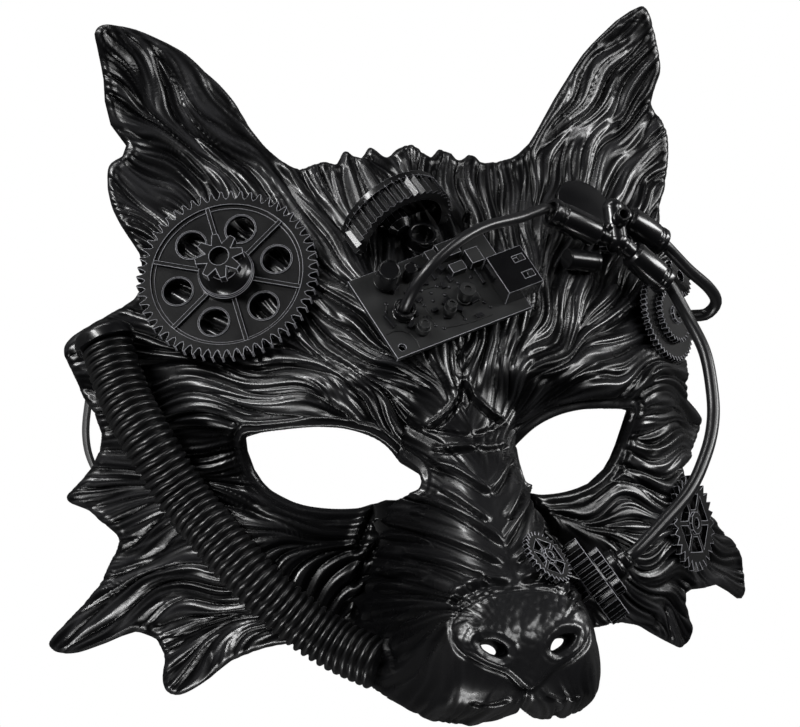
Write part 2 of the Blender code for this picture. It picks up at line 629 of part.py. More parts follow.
def plate(outline, holes, low, high):
    """A flat solid between two heights with its holes cut through."""
    loops = [np.asarray(outline)] + [np.asarray(hole) for hole in holes]
    edges, start = [], 0
    for loop in loops:
        count = len(loop)
        edges += [(start + i, start + (i + 1) % count) for i in range(count)]
        start += count
    flat = np.vstack(loops)
    result = delaunay_2d_cdt([Vector(point) for point in flat], edges, [], 0, 1e-7)
    places = np.array([tuple(place) for place in result[0]])
    triangles = [tuple(face) for face in result[2]]
    centres = np.array([places[list(face)].mean(axis=0) for face in triangles])
    keep = inside(centres, loops[0])
    for hole in loops[1:]:
        keep &= ~inside(centres, hole)
    triangles = [face for face, wanted in zip(triangles, keep) if wanted]
    shape = bmesh.new()
    top = [shape.verts.new((x, y, high)) for x, y in places]
    bottom = [shape.verts.new((x, y, low)) for x, y in places]
    used = set()
    for a, b, c in triangles:
        shape.faces.new((top[a], top[b], top[c]))
        shape.faces.new((bottom[c], bottom[b], bottom[a]))
        used |= {(a, b), (b, c), (c, a)}
    for a, b in used:
        if (b, a) not in used:
            shape.faces.new((top[b], top[a], bottom[a], bottom[b]))
    return shape


def block(size, centre):
    """A box by its size and centre."""
    shape = bmesh.new()
    bmesh.ops.create_cube(shape, size=1.0, matrix=Matrix.Translation(centre)
                          @ Matrix.Diagonal((*size, 1.0)))
    return shape


def moved(shape, matrix):
    """The same shape, moved by a matrix."""
    bmesh.ops.transform(shape, matrix=matrix, verts=shape.verts)
    return shape


def axis_frame(point, axis, across=(1.0, 0.0, 0.0)):
    """A placement whose Z runs along the axis and whose X lies near the given direction."""
    z = Vector(axis).normalized()
    x = Vector(across)
    x = (x - z * x.dot(z)).normalized()
    frame = Matrix((x, z.cross(x), z)).transposed().to_4x4()
    frame.translation = Vector(point)
    return frame


class Moulding:
    """The moulded face as other pieces meet it."""

    def __init__(self, thing):
        self.tree = BVHTree.FromObject(thing, bpy.context.evaluated_depsgraph_get())

    def top(self, x, y):
        """Point of the outer face over a place in the plan, or None beside the mask."""
        return self.tree.ray_cast(Vector((x, y, 1.0)), Vector((0.0, 0.0, -1.0)))[0]

    def seat(self, x, y, reach, across=(1.0, 0.0, 0.0), axis=None):
        """Placement flush on the face: no point within the reach stands above its plane."""
        points = []
        for share in (0.0, 0.35, 0.7, 1.0):
            for place_x, place_y in circle(reach * share, 16, (x, y)):
                point = self.top(place_x, place_y)
                if point is not None:
                    points.append(tuple(point))
        points = np.array(points)
        middle = points.mean(axis=0)
        if axis is None:
            axis = np.linalg.svd(points - middle)[2][2]
            axis = axis * np.sign(axis[2])
        axis = Vector(axis).normalized()
        centre = Vector((x, y, self.top(x, y).z))
        rise = max((Vector(point) - centre).dot(axis) for point in points)
        return axis_frame(centre + axis * (rise + SEAT_GAP), axis, across)

    def clear(self, point, radius):
        """The same point, lifted until a ball of the radius stands clear of the face."""
        point = Vector(point)
        for _ in range(12):
            nearest, _, _, distance = self.tree.find_nearest(point)
            wanted = radius + SEAT_GAP
            if distance >= wanted and point.z > nearest.z:
                break
            lack = wanted - distance if point.z > nearest.z else wanted + distance
            point.z += lack
        return point

    def foot(self, frame, radius, length, sides=12):
        """A post down the frame's Z to the face, its end cut to the face."""
        shape = bmesh.new()
        down = -(frame.to_3x3() @ Vector((0.0, 0.0, 1.0)))
        upper, lower = [], []
        for x, y in np.vstack((circle(radius, sides), ((0.0, 0.0),))):
            start = frame @ Vector((x, y, -JOINT_GAP))
            hit, normal, _, reach = self.tree.ray_cast(start, down, length)
            drop = length if hit is None else reach - SEAT_GAP / max(abs(normal.dot(down)), LEAST_SLANT)
            upper.append(shape.verts.new((x, y, -JOINT_GAP)))
            lower.append(shape.verts.new((x, y, -JOINT_GAP - max(drop, SEAT_GAP))))
        for side in range(sides):
            after = (side + 1) % sides
            shape.faces.new((upper[side], upper[after], upper[sides]))
            shape.faces.new((lower[after], lower[side], lower[sides]))
            shape.faces.new((upper[after], upper[side], lower[side], lower[after]))
        return shape


def place(share_x, share_y):
    """A place in the plan from its shares."""
    return share_x * HALF_WIDTH, float(along(share_y))


def point_at(share_x, share_y, share_z):
    """A point from its shares."""
    return Vector((*place(share_x, share_y), share_z * FACE_RISE))


def turn_z(degrees):
    """A turn round Z."""
    return Matrix.Rotation(math.radians(degrees), 4, "Z")


def lift(height):
    """A move up Z."""
    return Matrix.Translation((0.0, 0.0, height))


def big_gear(face):
    """The big gear with its web, ribs and hub, its post and its pinion."""
    frame = face.seat(*place(*BIG_GEAR_PLACE), BIG_GEAR_RADIUS)
    overlap = BIG_WEB_LIFT
    bore = BIG_RIM_BORE
    holes = [circle(BIG_HOLE_RADIUS, 8, BIG_HOLE_CIRCLE * np.array(
        (math.cos(angle), math.sin(angle)))) for angle in
        np.radians(BIG_RIB_TURN + 360 / BIG_SPOKES * (np.arange(BIG_SPOKES) + 0.5))]
    shapes = [plate(gear_outline(BIG_GEAR_TEETH, BIG_GEAR_RADIUS, BIG_TOOTH_HEIGHT),
                    [circle(bore, RIM_SIDES)], 0.0, BIG_GEAR_THICKNESS)]
    shapes.append(plate(circle(bore + overlap, RIM_SIDES), holes, BIG_WEB_LIFT,
                        BIG_WEB_LIFT + BIG_WEB_THICKNESS))
    rib_length = bore + overlap - HUB_RADIUS * 0.6
    rib_height = BIG_GEAR_THICKNESS - BIG_WEB_LIFT * 2.5
    for rib in range(BIG_SPOKES):
        centre = (bore + overlap - rib_length / 2, 0.0, BIG_WEB_LIFT * 1.5 + rib_height / 2)
        shape = block((rib_length, BIG_RIB_WIDTH, rib_height), centre)
        shapes.append(moved(shape, turn_z(BIG_RIB_TURN + 360 / BIG_SPOKES * rib)))
    base = BIG_WEB_LIFT * 0.5
    shapes.append(turned(((0.0, base), (HUB_RADIUS, base), (HUB_RADIUS, HUB_HEIGHT * 0.45),
                          (HUB_RADIUS * 0.8, HUB_HEIGHT * 0.62), (HUB_NECK_RADIUS, HUB_HEIGHT * 0.7),
                          (HUB_NECK_RADIUS, HUB_HEIGHT), (0.0, HUB_HEIGHT)), 12))
    merged("big_gear", shapes, frame)
    new_object("big_gear_post", face.foot(frame, GEAR_POST_RADIUS, BIG_GEAR_RADIUS), frame)
    pinion = plate(gear_outline(PINION_TEETH, PINION_RADIUS, PINION_TOOTH_HEIGHT, 0.16),
                   [circle(PINION_BORE, 16)], 0.0, PINION_THICKNESS)
    new_object("pinion", pinion, frame @ lift(HUB_HEIGHT + JOINT_GAP))


def cup_gear(face):
    """The toothed cup, cut to the forehead, and the ferrule in front of it."""
    seat = face.seat(*place(*CUP_PLACE), CUP_RADIUS * 0.8)
    centre = seat.translation + seat.to_3x3() @ Vector((0.0, 0.0, CUP_LIFT))
    frame = axis_frame(centre, CUP_AXIS)
    floor = -CUP_DEPTH
    ring = plate(gear_outline(CUP_TEETH, CUP_RADIUS, CUP_TOOTH_HEIGHT), [circle(CUP_BORE, RIM_SIDES)],
                 floor, 0.0)
    back = plate(circle(CUP_RADIUS, RIM_SIDES), [], floor - CUP_FLOOR, floor + CUP_FLOOR * 0.5)
    knob = turned(((0.0, floor), (CUP_KNOB_RADIUS, floor), (CUP_KNOB_RADIUS, -CUP_KNOB_RADIUS * 0.6),
                   (CUP_KNOB_RADIUS * 0.6, -CUP_KNOB_RADIUS * 0.1), (0.0, 0.0)), 12)
    cup = merged("cup_gear", [ring, back, knob], frame)
    room = CUP_RADIUS * 4
    below = new_object("below", block((room, room, room), (0.0, 0.0, -room / 2)), seat)
    cut(cup, below)
    tube = ((FERRULE_RADIUS, 0.0), (FERRULE_RADIUS, FERRULE_LENGTH), (FERRULE_BORE, FERRULE_LENGTH),
            (FERRULE_BORE, FERRULE_LENGTH * 0.2), (0.0, FERRULE_LENGTH * 0.2))
    seat = face.seat(*place(*FERRULE_PLACE), FERRULE_RADIUS)
    new_object("ferrule", turned(((0.0, 0.0),) + tube, 12), seat)


def circuit_board(face):
    """The board with its feet, its connector and the small pieces on it."""
    frame = face.seat(*place(*BOARD_PLACE), BOARD_LENGTH * 0.44, BOARD_ACROSS)
    half_length, half_width = BOARD_LENGTH / 2, BOARD_WIDTH / 2
    corners = np.array(((-1, -1), (1, -1), (1, 1), (-1, 1))) * (half_length, half_width)
    screw = (BOARD_SCREW_PLACE[0] * half_length, BOARD_SCREW_PLACE[1] * half_width)
    new_object("circuit_board", plate(corners, [circle(BOARD_SCREW_RADIUS, 12, screw)],
                                      0.0, BOARD_THICKNESS), frame)
    for name, side in (("board_foot_left", -1), ("board_foot_right", 1)):
        foot = frame @ Matrix.Translation((side * BOARD_FOOT_PLACE * half_length, 0.0, 0.0))
        new_object(name, face.foot(foot, BOARD_FOOT_RADIUS, BOARD_LENGTH, 8), foot)
    top = frame @ lift(BOARD_THICKNESS + JOINT_GAP)

    def on_board(share_x, share_y):
        return top @ Matrix.Translation((share_x * half_length, share_y * half_width, 0.0))

    for name, share_x, share_y, radius, height in ROUND_COMPONENTS:
        chamfer = radius * 0.2
        new_object(name, turned(((0.0, 0.0), (radius, 0.0), (radius, height - chamfer),
                                 (radius - chamfer, height), (0.0, height)), 12),
                   on_board(share_x, share_y))
    for name, share_x, share_y, length, width, height in CHIPS:
        new_object(name, block((length, width, height), (0.0, 0.0, height / 2)),
                   on_board(share_x, share_y))
    socket = on_board(*CABLE_SOCKET_PLACE)
    bore = FOREHEAD_CABLE_RADIUS + JOINT_GAP
    new_object("cable_socket", turned(
        ((0.0, 0.0), (CABLE_SOCKET_RADIUS, 0.0), (CABLE_SOCKET_RADIUS, CABLE_SOCKET_HEIGHT * 0.8),
         (bore * 1.15, CABLE_SOCKET_HEIGHT), (bore, CABLE_SOCKET_HEIGHT * 0.4),
         (0.0, CABLE_SOCKET_HEIGHT * 0.4)), 12), socket)
    box_connector(on_board(*CONNECTOR_PLACE))
    peg = face.seat(*place(*PEG_PLACE), PEG_RADIUS)
    new_object("peg", turned(((0.0, 0.0), (PEG_RADIUS, 0.0), (PEG_RADIUS, PEG_HEIGHT * 0.85),
                              (PEG_RADIUS * 0.6, PEG_HEIGHT), (0.0, PEG_HEIGHT)), 10), peg)
    return socket @ lift(CABLE_SOCKET_HEIGHT * 0.4 + JOINT_GAP)


def box_connector(frame):
    """The metal socket, open at its outer end, with two windows in its top."""
    length, width, height = CONNECTOR_SIZE
    wall = CONNECTOR_WALL
    box = new_object("box_connector", block(CONNECTOR_SIZE, (0.0, 0.0, height / 2)), frame)
    mouth = new_object("mouth", block((length, width - 2 * wall, height - 2 * wall),
                                      (length * 0.25, 0.0, height / 2)), frame)
    cut(box, mouth)
    for side in (-1, 1):
        window = new_object("window", block((length * 0.3, width * 0.16, height * 0.5),
                                            (length * 0.26, side * width * 0.22, height)), frame)
        cut(box, window)


def barrel(name, start, end):
    """A barrel fitting between two points, with a collar and a groove near its far end."""
    length = (end - start).length
    radius = BARREL_RADIUS
    profile = ((0.0, 0.0), (radius * 0.8, 0.0), (radius, length * 0.08), (radius, length * 0.76),
               (radius * 0.9, length * 0.78), (radius * 0.9, length * 0.84), (radius, length * 0.86),
               (radius * 0.96, length * 0.97), (radius * 0.6, length), (0.0, length))
    new_object(name, turned(profile, 10), axis_frame(start, end - start))


def rod(start, end, radius, sides=10):
    """A plain rod between two points, in the part's own frame."""
    frame = axis_frame(start, end - start)
    length = (end - start).length
    return moved(turned(((0.0, 0.0), (radius, 0.0), (radius, length), (0.0, length)), sides), frame)


def fittings(face):
    """The three barrels, the manifold between them and the round pieces round them."""
    ends = {}
    for letter, shares in (("a", BARREL_A), ("b", BARREL_B), ("c", BARREL_C)):
        start, end = (point_at(*share) for share in shares)
        ends[letter] = (start, end, (end - start).normalized())
    start, end, axis = ends["a"]
    barrel("barrel_a", end, start)
    for letter in "bc":
        barrel(f"barrel_{letter}", *ends[letter][:2])
    upper = ends["b"][0] - ends["b"][2] * MANIFOLD_STUB
    lower = ends["c"][0] - ends["c"][2] * MANIFOLD_STUB
    middle = (upper + lower) / 2
    cross = (lower - upper).normalized() * MANIFOLD_RADIUS * 0.5
    knee_a = end + axis * STUB_LENGTH
    shapes = [rod(upper - cross, lower + cross, MANIFOLD_RADIUS),
              rod(knee_a, middle, MANIFOLD_RADIUS * 0.8),
              rod(end + axis * JOINT_GAP, knee_a + axis * MANIFOLD_RADIUS * 0.5,
                  MANIFOLD_RADIUS * 0.86)]
    for letter, knee in (("b", upper), ("c", lower)):
        shapes.append(rod(knee, ends[letter][0] - ends[letter][2] * JOINT_GAP,
                          MANIFOLD_RADIUS * 0.9))
    merged("manifold", shapes)
    up = Vector((0.0, 0.0, 1.0))
    out = (up - cross * (up.dot(cross) / cross.length_squared)).normalized()
    radius, bore, length = EYE_TUBE_RADIUS, EYE_TUBE_BORE, EYE_TUBE_LENGTH
    new_object("eye_tube", turned(
        ((0.0, 0.0), (radius, 0.0), (radius, length * 0.45), (radius * 0.68, length * 0.5),
         (radius * 0.68, length), (bore, length), (bore, length * 0.3), (0.0, length * 0.3)), 10),
        axis_frame(middle + out * (MANIFOLD_RADIUS + JOINT_GAP), out))
    post = axis_frame(lower + cross - up * (MANIFOLD_RADIUS * 1.5), up)
    new_object("manifold_post", face.foot(post, MANIFOLD_RADIUS * 0.7, FACE_RISE, 10), post)
    dark_ends = [face.clear(Vector((*place(*share), 0.0)), DARK_CYLINDER_RADIUS)
                 for share in DARK_CYLINDER]
    dark = new_object("dark_cylinder", rod(*dark_ends, DARK_CYLINDER_RADIUS))
    settle(dark, face)
    disc = face.seat(*place(*DISC_PLACE), DISC_RADIUS)
    steps = np.radians(np.linspace(0.0, 90.0, 4))
    dome = [(DISC_RADIUS * math.cos(a), DISC_HEIGHT * (0.4 + 0.6 * math.sin(a))) for a in steps[:-1]]
    new_object("domed_disc", turned(((0.0, 0.0), (DISC_RADIUS, 0.0), *dome, (0.0, DISC_HEIGHT)), 16),
               disc)
    return ends


def settle(thing, face):
    """Lift a piece until every corner and edge middle stands clear of the face."""
    for _ in range(8):
        bpy.context.view_layer.update()
        lack = 0.0
        corners = [thing.matrix_world @ vert.co for vert in thing.data.vertices]
        middles = [(corners[a] + corners[b]) / 2 for a, b in
                   (edge.vertices for edge in thing.data.edges)]
        for point in corners + middles:
            nearest, _, _, distance = face.tree.find_nearest(point)
            above = face.top(point.x, point.y)
            inside_face = above is not None and point.z < above.z
            lack = max(lack, SEAT_GAP + distance if inside_face else SEAT_GAP - distance)
        if lack <= SEAT_GAP * 0.1:
            return
        thing.matrix_world = lift(lack) @ thing.matrix_world


def wheel(name, frame, teeth, radius, tooth_height, thickness, windows, hub_radius):
    """A toothed wheel with openings through it and a raised hub with a bore."""
    shapes = [plate(gear_outline(teeth, radius, tooth_height),
                    [*windows, circle(hub_radius * 0.7, 8)], 0.0, thickness),
              turned(((hub_radius, thickness * 0.1), (hub_radius, thickness * 1.5),
                      (hub_radius * 0.45, thickness * 1.5), (hub_radius * 0.45, thickness * 0.1),
                      (hub_radius, thickness * 0.1)), 10)]
    return merged(name, shapes, frame)


def small_gears(face):
    """The gears on the temple, the cheek and the snout."""
    temple = face.seat(*place(*TEMPLE_PLACE), TEMPLE_LARGE_RADIUS * 0.9)
    large, small, back = TEMPLE_LARGE_RADIUS, TEMPLE_SMALL_RADIUS, TEMPLE_BACK_RADIUS
    new_object("temple_gear_large", plate(
        gear_outline(TEMPLE_LARGE_TEETH, large, SMALL_TOOTH_HEIGHT), [], 0.0,
        TEMPLE_THICKNESS), temple)
    upper = temple @ lift(TEMPLE_THICKNESS + JOINT_GAP)
    wheel("temple_gear_small", upper, TEMPLE_SMALL_TEETH, small, SMALL_TOOTH_HEIGHT,
          TEMPLE_THICKNESS, [], small * 0.32)
    reach = small + back + JOINT_GAP
    turn = math.radians(TEMPLE_BACK_TURN)
    back_frame = upper @ Matrix.Translation((reach * math.cos(turn), reach * math.sin(turn), 0.0))
    new_object("temple_gear_back", plate(
        gear_outline(TEMPLE_BACK_TEETH, back, SMALL_TOOTH_HEIGHT), [circle(back * 0.3, 8)], 0.0,
        TEMPLE_THICKNESS), back_frame)
    cheek = face.seat(*place(*CHEEK_PLACE), CHEEK_RADIUS * 0.9)
    radius = CHEEK_RADIUS
    wheel("cheek_gear", cheek, CHEEK_TEETH, radius, CHEEK_TOOTH_HEIGHT, SPOKED_THICKNESS,
          spoke_windows(6, radius * 0.30, radius * 0.66, SPOKE_WIDTH), radius * 0.24)
    snout = face.seat(*place(*SNOUT_GEAR_PLACE), SNOUT_GEAR_RADIUS * 0.9)
    radius = SNOUT_GEAR_RADIUS
    wheel("snout_gear", snout, SNOUT_GEAR_TEETH, radius, SMALL_TOOTH_HEIGHT, SPOKED_THICKNESS,
          spoke_windows(6, radius * 0.34, radius * 0.70, SPOKE_WIDTH * 0.7), radius * 0.27)


def gear_stack(face):
    """The stack of gears on the snout wall. Returns the point where the cable leaves it."""
    share_x, share_y, share_z = STACK_PLACE
    centre = Vector((share_x * SNOUT_HALF_WIDTH, float(along(share_y)), share_z * SNOUT_RISE))
    frame = axis_frame(centre, STACK_AXIS, (0.0, 0.0, 1.0))
    half = FLUTED_LENGTH / 2
    new_object("fluted_gear", plate(gear_outline(FLUTED_TEETH, FLUTED_RADIUS, FLUTED_TOOTH_HEIGHT),
                                    [], -half, half), frame)
    level = half + JOINT_GAP
    new_object("narrow_gear", plate(gear_outline(NARROW_TEETH, NARROW_RADIUS, SMALL_TOOTH_HEIGHT),
                                    [], 0.0, NARROW_LENGTH), frame @ lift(level))
    level += NARROW_LENGTH + JOINT_GAP
    for name, radius, length in (("stack_collar", STACK_COLLAR_RADIUS, STACK_COLLAR_LENGTH),
                                 ("stack_sleeve", STACK_SLEEVE_RADIUS, STACK_SLEEVE_LENGTH)):
        new_object(name, turned(((0.0, 0.0), (radius, 0.0), (radius, length * 0.8),
                                 (radius * 0.85, length), (0.0, length)), 10), frame @ lift(level))
        level += length + JOINT_GAP
    boss = frame @ lift(-half)
    new_object("stack_boss", face.foot(boss, STACK_BOSS_RADIUS, SNOUT_HALF_WIDTH), boss)
    return frame @ lift(level)


def smooth_route(points, spacing):
    """Evenly spaced points of a smooth open curve through the route's points."""
    points = np.array([tuple(point) for point in points])
    ends = np.vstack((2 * points[0] - points[1], points, 2 * points[-1] - points[-2]))
    fine = []
    for a, b, c, d in zip(ends, ends[1:], ends[2:], ends[3:]):
        for t in np.linspace(0.0, 1.0, 16, endpoint=False):
            fine.append(0.5 * (2 * b + (c - a) * t + (2 * a - 5 * b + 4 * c - d) * t**2
                               + (3 * b - a - 3 * c + d) * t**3))
    fine = np.array(fine + [points[-1]])
    lengths = np.concatenate(([0.0], np.cumsum(np.linalg.norm(np.diff(fine, axis=0), axis=1))))
    count = max(2, round(lengths[-1] / spacing))
    at = np.linspace(0.0, lengths[-1], count + 1)
    return np.column_stack([np.interp(at, lengths, fine[:, axis]) for axis in range(3)])


def cable(name, points, radius):
    """A cable as a curve with filled caps, straight at its first and last stretch."""
    route = np.vstack(([points[0]], smooth_route(points[1:-1], radius * 5.0), [points[-1]]))
    curve = bpy.data.curves.new(name, "CURVE")
    curve.dimensions = "3D"
    curve.bevel_depth = radius
    curve.bevel_resolution = 2
    curve.use_fill_caps = True
    curve.render_resolution_u = 0
    spline = curve.splines.new("POLY")
    spline.points.add(len(route) - 1)
    for knot, point in zip(spline.points, route):
        knot.co = (*point, 1.0)
    thing = bpy.data.objects.new(name, curve)
    bpy.context.collection.objects.link(thing)


def cables(face, ends, socket, stack):
    """The three cables, each held at both ends."""
    start = socket.translation
    rise = socket.to_3x3() @ Vector((0.0, 0.0, CABLE_SOCKET_HEIGHT))
    into_a = ends["a"][0] - ends["a"][2] * JOINT_GAP
    cable("forehead_cable", [start, start + rise, *(point_at(*row) for row in FOREHEAD_CABLE_ROUTE),
                             into_a - ends["a"][2] * STUB_LENGTH, into_a], FOREHEAD_CABLE_RADIUS)
    out_c = ends["c"][1] + ends["c"][2] * JOINT_GAP
    out_stack = stack.translation
    lead = stack.to_3x3() @ Vector((0.0, 0.0, STACK_SLEEVE_LENGTH))
    cable("long_cable", [out_c, out_c + ends["c"][2] * STUB_LENGTH,
                         *(point_at(*row) for row in LONG_CABLE_ROUTE),
                         out_stack + lead, out_stack], LONG_CABLE_RADIUS)
    out_b = ends["b"][1] + ends["b"][2] * JOINT_GAP
    cable("loop_tube", [out_b, out_b + ends["b"][2] * STUB_LENGTH,
                        *(point_at(*row) for row in LOOP_TUBE_ROUTE)], LOOP_TUBE_RADIUS)


def swept(name, route, radii, sides):
    """A solid of round sections along a route, one radius for each point."""
    shape = bmesh.new()
    tangents = np.gradient(route, axis=0)
    across = Vector((0.0, 0.0, 1.0))
    rings = []
    for point, tangent, radius in zip(route, tangents, radii):
        tangent = Vector(tangent).normalized()
        across = (across - tangent * across.dot(tangent)).normalized()
        other = tangent.cross(across)
        rings.append([shape.verts.new(Vector(point) + (across * math.cos(a) + other * math.sin(a))
                                      * radius) for a in np.linspace(0, 2 * math.pi, sides + 1)[:-1]])
    for lower, upper in zip(rings, rings[1:]):
        for side in range(sides):
            after = (side + 1) % sides
            shape.faces.new((lower[side], lower[after], upper[after], upper[side]))
    shape.faces.new(rings[0])
    shape.faces.new(rings[-1])
    return new_object(name, shape)


def breathing_hose(face, filled):
    """The corrugated hose, cut to the wall of the muzzle, and its hood at the temple."""
    route = [face.clear(point_at(*row), HOOD_RADIUS if index == 0 else HOSE_RADIUS)
             for index, row in enumerate(HOSE_ROUTE[:-1])] + [point_at(*HOSE_ROUTE[-1])]
    fine = smooth_route(route, HOSE_RADIUS / 8)
    along_fine = np.linspace(0, len(fine) - 1, 2 * HOSE_RIBS + 1)
    rings = np.column_stack([np.interp(along_fine, np.arange(len(fine)), fine[:, axis])
                             for axis in range(3)])
    radii = [HOSE_RADIUS - (0.0 if index % 2 else HOSE_DEPTH) for index in range(len(rings))]
    hose = swept("breathing_hose", rings, radii, HOSE_SIDES)
    cut(hose, filled)
    out = Vector(rings[0]) - Vector(rings[1])
    dome = [(HOOD_RADIUS * math.cos(a), HOOD_HEIGHT * (0.3 + 0.7 * math.sin(a)))
            for a in np.radians((0.0, 25.0, 50.0, 72.0))]
    hood_frame = axis_frame(Vector(rings[0]) + out.normalized() * JOINT_GAP, out)
    new_object("hose_hood", turned(((0.0, 0.0), (HOOD_RADIUS, 0.0), *dome, (0.0, HOOD_HEIGHT)), 14),
               hood_frame)


def head_strap(face):
    """The elastic strap on edge on the floor, and the tab at each of its ends."""
    thickness, length = TAB_SIZE
    ends = []
    for name, shares, side in (("strap_tab_left", TAB_LEFT, -1), ("strap_tab_right", TAB_RIGHT, 1)):
        x, y = place(*shares)
        heights = []
        for corner_x in (-thickness / 2, thickness / 2):
            for corner_y in (-length / 2, 0.0, length / 2):
                below = Vector((x + corner_x, y + corner_y, -1.0))
                heights.append(face.tree.ray_cast(below, Vector((0.0, 0.0, 1.0)))[0].z)
        height = min(heights) - SEAT_GAP
        new_object(name, block((thickness, length, height), (0.0, 0.0, height / 2)),
                   Matrix.Translation((x, y, 0.0)))
        beside = x + side * (thickness / 2 + STRAP_THICKNESS / 2 + JOINT_GAP)
        ends.append([(beside, y + length / 2, 0.0), (beside, y - length / 2, 0.0)])
    middle = [(*place(*shares), 0.0) for shares in STRAP_ROUTE]
    route = smooth_route(ends[0] + middle + ends[1][::-1], STRAP_WIDTH * 3.0)
    shape = bmesh.new()
    tangents = np.gradient(route, axis=0)
    columns = []
    for (x, y, _), tangent in zip(route, tangents):
        across = np.array((-tangent[1], tangent[0])) / np.linalg.norm(tangent) * STRAP_THICKNESS / 2
        columns.append([shape.verts.new((x + sign * across[0], y + sign * across[1], z))
                        for sign, z in ((-1, 0.0), (1, 0.0), (1, STRAP_WIDTH), (-1, STRAP_WIDTH))])
    for first, second in zip(columns, columns[1:]):
        for side in range(4):
            after = (side + 1) % 4
            shape.faces.new((first[side], first[after], second[after], second[side]))
    shape.faces.new(columns[0])
    shape.faces.new(columns[-1])
    new_object("elastic_strap", shape)


def dress(thing, finish):
    """Give a piece its own material and smooth its round sides."""
    colour, roughness, metallic = finish
    material = bpy.data.materials.new(thing.name)
    material.use_nodes = True
    principled = material.node_tree.nodes["Principled BSDF"]
    principled.inputs["Base Color"].default_value = (*colour, 1.0)
    principled.inputs["Roughness"].default_value = roughness
    principled.inputs["Metallic"].default_value = metallic
    thing.data.materials.append(material)
    if thing.type == "MESH":
        thing.data.shade_smooth()
        thing.data.set_sharp_from_angle(angle=math.radians(SMOOTH_BELOW))


def finish_all():
    """Dress every piece and hang them all on one empty, whose place centres the mask on its origin."""
    centre = bpy.data.objects.new("mask_centre", None)
    centre.location = (0.0, (CHIN_REACH - EAR_REACH) / 2, 0.0)
    bpy.context.collection.objects.link(centre)
    for finish, names in FINISHES:
        for name in names:
            thing = bpy.data.objects[name]
            dress(thing, finish)
            thing.parent = centre


def main():
    """Build the whole mask."""
    for thing in list(bpy.data.objects):
        bpy.data.objects.remove(thing)
    shell, filled = mask_shell()
    bpy.context.view_layer.update()
    face = Moulding(shell)
    big_gear(face)
    cup_gear(face)
    socket = circuit_board(face)
    ends = fittings(face)
    small_gears(face)
    stack = gear_stack(face)
    cables(face, ends, socket, stack)
    breathing_hose(face, filled)
    head_strap(face)
    finish_all()


if __name__ == "__main__":
    main()
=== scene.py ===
"""Looks of a steampunk wolf mask, which lies on a pale floor with its face up.

The moulded face is a height field over the mask's outline, and its fur is a relief of waves that are
drawn out along the way the fur grows.
The gears, the board, the fittings, the hose and the cables stand where their solids stand.
"""
from __future__ import annotations

import json
import logging
import math
from dataclasses import dataclass
from enum import Enum
from typing import Sequence

import bpy
import numpy as np
from mathutils import Matrix, Vector, noise
from mathutils.bvhtree import BVHTree
from mathutils.geometry import delaunay_2d_cdt
from mathutils.kdtree import KDTree

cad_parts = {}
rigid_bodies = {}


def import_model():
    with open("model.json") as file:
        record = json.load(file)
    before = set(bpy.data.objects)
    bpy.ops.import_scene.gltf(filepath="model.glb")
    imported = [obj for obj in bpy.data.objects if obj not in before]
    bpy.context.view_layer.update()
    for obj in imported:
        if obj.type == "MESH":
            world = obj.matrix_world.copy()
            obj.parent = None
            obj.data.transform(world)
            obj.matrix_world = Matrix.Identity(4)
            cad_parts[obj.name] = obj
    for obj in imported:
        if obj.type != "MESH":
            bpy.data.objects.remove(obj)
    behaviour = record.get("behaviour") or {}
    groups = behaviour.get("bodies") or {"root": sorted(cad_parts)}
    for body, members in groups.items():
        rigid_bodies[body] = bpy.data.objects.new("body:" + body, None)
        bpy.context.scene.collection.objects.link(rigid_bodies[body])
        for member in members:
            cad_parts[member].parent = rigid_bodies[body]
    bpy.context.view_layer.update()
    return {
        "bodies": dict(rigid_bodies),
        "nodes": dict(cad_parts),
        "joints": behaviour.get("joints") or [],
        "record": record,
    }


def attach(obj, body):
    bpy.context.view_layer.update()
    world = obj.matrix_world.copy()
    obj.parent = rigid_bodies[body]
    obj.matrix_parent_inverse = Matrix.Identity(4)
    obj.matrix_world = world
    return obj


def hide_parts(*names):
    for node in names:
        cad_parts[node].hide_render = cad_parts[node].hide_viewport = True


LOG = logging.getLogger("wolf_mask")
MM = 0.001
BODY = "root"
UP = Vector((0.0, 0.0, 1.0))
# Spacing of the points on the edges that relief is measured from
EDGE_STEP = 0.0003
# Look of every finish: its blotches, the gloss of its clear coat and how plastic bends light
BLOTCH_MM = 9.0
COAT_ROUGHNESS = 0.12
PLASTIC_IOR = 1.5
# Look of the fur: how fast its painted highlight, a lighter colour on each crest, falls off beside the
# crest, and its gleam in the furrows and on top
CREST_FALL = 2.2
CREST_GLEAM = {"From Max": 0.8, "To Min": 0.16, "To Max": 0.85}


def linear(code: str) -> tuple[float, float, float, float]:
    """Turn an sRGB hex colour into linear values.

    Args:
        code: six hex digits.

    Returns:
        Linear red, green, blue and an alpha of one.
    """
    parts = [int(code[index:index + 2], 16) / 255 for index in (0, 2, 4)]
    red, green, blue = (part / 12.92 if part <= 0.04045 else ((part + 0.055) / 1.055) ** 2.4
                        for part in parts)
    return red, green, blue, 1.0


def add_node(tree: bpy.types.NodeTree, kind: str, settings: dict | None = None,
             values: dict | None = None, links: dict | None = None) -> bpy.types.Node:
    """Add a node with its settings, its socket values and the links into it.

    Args:
        tree: the node tree.
        kind: the node's type name.
        settings: attributes of the node.
        values: default values by input socket.
        links: output sockets by the input socket that they feed.

    Returns:
        The new node.
    """
    node = tree.nodes.new(kind)
    for name, value in (settings or {}).items():
        setattr(node, name, value)
    for name, value in (values or {}).items():
        node.inputs[name].default_value = value
    for name, socket in (links or {}).items():
        tree.links.new(socket, node.inputs[name])
    return node


class Surface(Enum):
    """How a material's surface was made."""

    MOULDED = "moulded"
    STRANDS = "moulded with fine strands of fur"
    WOVEN = "woven"


